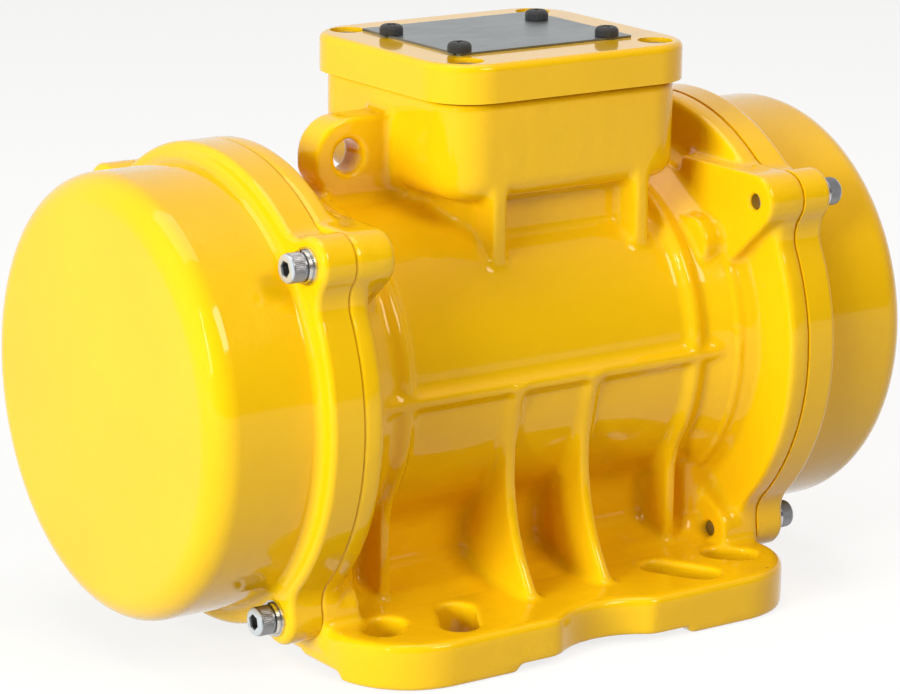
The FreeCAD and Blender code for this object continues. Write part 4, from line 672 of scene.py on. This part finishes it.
# ---------------------------------------------------------------- lid screws
# Four M5 screws with low heads and a cross recess, sunk in the counterbores at the corners of the
# lid. They are zinc plated, and hold lid and gasket down on the box.
lid_low, lid_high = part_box("lid_screws")
LID_HEAD_HEIGHT = 2.9 * MM
lid_seat = lid_high.z - LID_HEAD_HEIGHT
lid_screw = crowned_screw(
    "lid_screw", 2.5 * MM, lid_seat - lid_low.z, 4.7 * MM, LID_HEAD_HEIGHT, 1.0 * MM
)
lid_places = [
    ((x, y, lid_seat), (0, 0, 0.4 + 0.8 * number))
    for number, (x, y) in enumerate(box_spots("lid_screws", 4.7 * MM))
]
lid_screws = repeated("lid_low_screws", lid_screw, lid_places, zinc_painted_highlight)
dress(lid_screws, "motor_frame", "zinc_steel", zinc_painted_highlight, "lid_screws")


# ---------------------------------------------------------------- cable gland
# A pale grey polyamide gland, moulded in three pieces: body with its hexagon collar, domed cap nut
# and, inside the nut, the rubber seal that would grip the cable.
def moulded(name, light, deep, gloss, dull, depth=0.00004):
    """Moulded plastic or rubber, with the faint grain of its mould."""
    made, tree, shader = material(name)
    grain = noise(tree, 900, 3, 0.6)
    patches = fitted(tree, noise(tree, 120, 3), 0, 1)
    tree.links.new(two_tone(tree, patches, light, deep), shader.inputs["Base Color"])
    tree.links.new(fitted(tree, grain, gloss, dull), shader.inputs["Roughness"])
    bumped(tree, shader, grain, depth)
    return made


finish(
    moulded("grey_polyamide", (0.47, 0.48, 0.48), (0.41, 0.42, 0.42), 0.25, 0.42),
    "cable_gland_body", "cable_gland_nut",
)
finish(
    moulded("seal_rubber", (0.022, 0.022, 0.022), (0.035, 0.035, 0.035), 0.55, 0.8),
    "cable_gland_seal",
)


# ---------------------------------------------------------------- gasket and cover seals
# A flat sponge rubber gasket under the lid, and a round nitrile cord in the groove of each end
# flange, squeezed by its cover.
finish(
    moulded("nitrile_rubber", (0.018, 0.018, 0.018), (0.03, 0.03, 0.03), 0.5, 0.75, 0.00012),
    "lid_gasket", "left_cover_seal", "right_cover_seal",
)


# ---------------------------------------------------------------- terminals in the box
# A dark thermoset block screwed to the floor of the box, with brass studs and nuts for the
# windings' ends, and a zinc plated earth screw beside it.
finish(
    moulded("dark_thermoset", (0.05, 0.04, 0.035), (0.035, 0.03, 0.026), 0.3, 0.5),
    "terminal_block",
)
finish(
    metal("turned_brass", (0.74, 0.53, 0.22), (0.6, 0.41, 0.16), 0.2, 0.35),
    "terminal_studs", "terminal_nuts",
)
finish(zinc_painted_highlight, "earth_screw")


# ---------------------------------------------------------------- stator
# A pack of blanked electrical sheets pressed into the bore of the housing, and the copper end
# turns of its windings, dipped in amber varnish.
def sheet_pack(name, light, deep):
    """The edges of stacked sheets, as fine rings along the shaft."""
    made, tree, shader = material(name)
    edges = noise(tree, 1400, 2, 0.5, (1, 0.03, 0.03))
    rust = noise(tree, 160, 4)
    colour = two_tone(tree, fitted(tree, rust, 0, 1), light, deep)
    tree.links.new(colour, shader.inputs["Base Color"])
    tree.links.new(fitted(tree, edges, 0.35, 0.62), shader.inputs["Roughness"])
    shader.inputs["Metallic"].default_value = 1.0
    bumped(tree, shader, edges, 0.00012)
    return made


def varnished_wire():
    made, tree, shader = material("varnished_wire")
    strands = noise(tree, 700, 2, 0.5, (1, 0.5, 0.5))
    runs = noise(tree, 90, 3)
    tree.links.new(
        two_tone(tree, fitted(tree, runs, 0, 1), (0.42, 0.13, 0.035), (0.22, 0.06, 0.018)),
        shader.inputs["Base Color"],
    )
    tree.links.new(fitted(tree, strands, 0.2, 0.4), shader.inputs["Roughness"])
    shader.inputs["Metallic"].default_value = 0.6
    shader.inputs["Coat Weight"].default_value = 0.5
    bumped(tree, shader, strands, 0.0006)
    return made


core_edges = sheet_pack("sheet_pack", (0.28, 0.28, 0.3), (0.19, 0.18, 0.18))
finish(core_edges, "stator_core")
finish(varnished_wire(), "stator_winding")


# ---------------------------------------------------------------- rotor
# Blanked sheets on a ground shaft, with bars and end rings of aluminium cast through and round
# them. The shaft carries the weights on keys at both ends.
finish(core_edges, "rotor_core")
finish(
    metal("die_cast_aluminium", (0.68, 0.69, 0.7), (0.55, 0.56, 0.57), 0.32, 0.5, 0.0001),
    "rotor_cage",
)
finish(
    metal("ground_steel", (0.56, 0.57, 0.58), (0.47, 0.48, 0.49), 0.16, 0.3),
    "shaft", "left_spacer", "right_spacer", "weight_keys", "retaining_rings",
)


# ---------------------------------------------------------------- bearings
# Deep groove ball bearings, hardened and ground to a mirror, with a pressed steel cage, each held
# in its cast iron flange by a grease cap.
finish(
    metal("bearing_steel", (0.63, 0.64, 0.65), (0.56, 0.57, 0.58), 0.06, 0.16, 0.00001),
    *(
        f"{end}_bearing_{piece}"
        for end in ("left", "right")
        for piece in ("inner_ring", "outer_ring", "balls")
    ),
)
finish(
    metal("pressed_cage_steel", (0.5, 0.49, 0.47), (0.42, 0.41, 0.39), 0.25, 0.4),
    "left_ball_cage", "right_ball_cage",
)
finish(
    metal("grey_iron", (0.2, 0.2, 0.21), (0.12, 0.12, 0.13), 0.42, 0.65, 0.0004),
    "left_bearing_flange", "right_bearing_flange", "left_grease_cap", "right_grease_cap",
)
finish(zinc_painted_highlight, "bearing_flange_screws", "grease_cap_screws")


# ---------------------------------------------------------------- eccentric weights
# Half-round plates flame cut from thick steel. The inner one is keyed to the shaft; the outer one
# clamps on it with a socket head screw, and is turned to set the force.
def cut_plate():
    made, tree, shader = material("cut_plate")
    scale = noise(tree, 220, 4, 0.6)
    tree.links.new(
        two_tone(tree, fitted(tree, scale, 0, 1), (0.33, 0.33, 0.34), (0.2, 0.2, 0.21)),
        shader.inputs["Base Color"],
    )
    tree.links.new(fitted(tree, scale, 0.3, 0.55), shader.inputs["Roughness"])
    shader.inputs["Metallic"].default_value = 1.0
    bumped(tree, shader, noise(tree, 1200, 3), 0.00015)
    return made


finish(
    cut_plate(),
    *(f"{end}_{kind}_weight" for end in ("left", "right") for kind in ("fixed", "adjustable")),
)
finish(zinc_painted_highlight, "left_clamp_screw", "right_clamp_screw")


# ---------------------------------------------------------------- camera
# Stands in front of the left end, a little above the motor, with a long lens.
CAMERA_PLACE = (-0.7079, -1.0163, 0.4100)
CAMERA_ANGLES = (34.74, 14.56, 0.67)
FOCAL_LENGTH = 142.9
SENSOR_WIDTH = 36


def camera():
    """A camera turned by its yaw, then pitched down, then rolled, in degrees."""
    lens = bpy.data.cameras.new("view")
    lens.sensor_width = SENSOR_WIDTH
    lens.lens = FOCAL_LENGTH
    lens.clip_end = 20
    item = bpy.data.objects.new("view", lens)
    scene.collection.objects.link(item)
    yaw, pitch, roll = (math.radians(angle) for angle in CAMERA_ANGLES)
    level = math.cos(pitch)
    forward = Vector((math.sin(yaw) * level, math.cos(yaw) * level, -math.sin(pitch)))
    right = Vector((math.cos(yaw), -math.sin(yaw), 0))
    up = right.cross(forward)
    rolled_right = right * math.cos(roll) + up * math.sin(roll)
    rolled_up = up * math.cos(roll) - right * math.sin(roll)
    turn = Matrix((rolled_right, rolled_up, -forward)).transposed().to_4x4()
    item.matrix_world = Matrix.Translation(CAMERA_PLACE) @ turn
    scene.camera = item


camera()


# ---------------------------------------------------------------- floor and light
# A pale paper floor in a studio that is bright behind the motor and dark on the camera's side,
# with a softbox on the left, one above and one in front. The left one casts light but isn't
# mirrored in the paint; a thin strip beside it gives the highlights.
PAPER = 0.80
FLOOR_REACH = 6.0
FLOOR_DROP = 0.0002
FLOOR_GREY = (0.45, 0.45, 0.45, 1)
SHADOW_GREY = (0.22, 0.22, 0.22, 1)
ROOM_LIGHT = 0.17
ROOM_FRONT = 0.08
ROOM_BACK = 0.9


def lamp(name, place, target, width, height, power, colour):
    """A flat lamp that faces its target."""
    light = bpy.data.lights.new(name, "AREA")
    light.color = colour
    light.shape = "RECTANGLE"
    light.size, light.size_y = width, height
    light.energy = power
    item = bpy.data.objects.new(name, light)
    item.location = place
    item.rotation_euler = (Vector(target) - Vector(place)).to_track_quat("-Z", "Y").to_euler()
    scene.collection.objects.link(item)
    return item


MIDDLE = (0, 0, 0.1)
DAYLIGHT = (0.88, 1.0, 0.95)
WARM = (1.0, 0.92, 0.84)
lamp("left_softbox", (-1.9, -0.5, 0.48), MIDDLE, 0.8, 0.8, 47, DAYLIGHT).visible_glossy = False
lamp("left_strip", (-1.5, -0.9, 0.9), MIDDLE, 0.05, 0.9, 4, DAYLIGHT)
lamp("top_softbox", (0.0, 0.1, 1.8), MIDDLE, 1.6, 1.0, 13, WARM)
lamp("front_softbox", (0.45, -1.6, 1.5), MIDDLE, 0.8, 0.8, 19, WARM)


def seen_directly(tree):
    """1 for what the camera, a mirror or a glass sees, 0 for what lights the room."""
    path = tree.nodes.new("ShaderNodeLightPath")
    rays = path.outputs["Is Camera Ray"]
    for kind in ("Is Glossy Ray", "Is Transmission Ray"):
        either = tree.nodes.new("ShaderNodeMath")
        either.operation = "MAXIMUM"
        tree.links.new(rays, either.inputs[0])
        tree.links.new(path.outputs[kind], either.inputs[1])
        rays = either.outputs[0]
    return rays


def paper_floor():
    """A pale floor that looks white and keeps the shadow of the motor."""
    mesh = bpy.data.meshes.new("floor")
    corners = ((-1, -1), (1, -1), (1, 1), (-1, 1))
    mesh.from_pydata(
        [(x * FLOOR_REACH, y * FLOOR_REACH, -FLOOR_DROP) for x, y in corners], [], [(0, 1, 2, 3)]
    )
    item = bpy.data.objects.new("floor", mesh)
    scene.collection.objects.link(item)
    made, tree, shader = material("pale_floor")
    shader.inputs["Base Color"].default_value = FLOOR_GREY
    shader.inputs["Roughness"].default_value = 0.8
    shader.inputs["Specular IOR Level"].default_value = 0.0
    seen = tree.nodes.new("ShaderNodeBsdfDiffuse")
    seen.inputs["Color"].default_value = SHADOW_GREY
    glow = tree.nodes.new("ShaderNodeEmission")
    glow.inputs["Strength"].default_value = PAPER
    both = tree.nodes.new("ShaderNodeAddShader")
    tree.links.new(seen.outputs[0], both.inputs[0])
    tree.links.new(glow.outputs[0], both.inputs[1])
    mix = tree.nodes.new("ShaderNodeMixShader")
    tree.links.new(seen_directly(tree), mix.inputs["Fac"])
    tree.links.new(shader.outputs[0], mix.inputs[1])
    tree.links.new(both.outputs[0], mix.inputs[2])
    tree.links.new(mix.outputs[0], tree.nodes["Material Output"].inputs["Surface"])
    mesh.materials.append(made)


def room():
    """Plain grey light all round; seen directly, white behind the motor and dark in front."""
    world = bpy.data.worlds.new("studio")
    scene.world = world
    world.use_nodes = True
    tree = world.node_tree
    place = tree.nodes.new("ShaderNodeTexCoord")
    split = tree.nodes.new("ShaderNodeSeparateXYZ")
    tree.links.new(place.outputs["Generated"], split.inputs[0])
    wall = fitted(tree, split.outputs["Y"], ROOM_FRONT, ROOM_BACK, -0.75, 0.1)
    mix = tree.nodes.new("ShaderNodeMix")
    mix.inputs["A"].default_value = ROOM_LIGHT
    tree.links.new(wall, mix.inputs["B"])
    tree.links.new(seen_directly(tree), mix.inputs["Factor"])
    tree.links.new(mix.outputs["Result"], tree.nodes["Background"].inputs["Strength"])
    tree.nodes["Background"].inputs["Color"].default_value = (1, 1, 1, 1)


paper_floor()
room()
scene.view_settings.view_transform = "Standard"
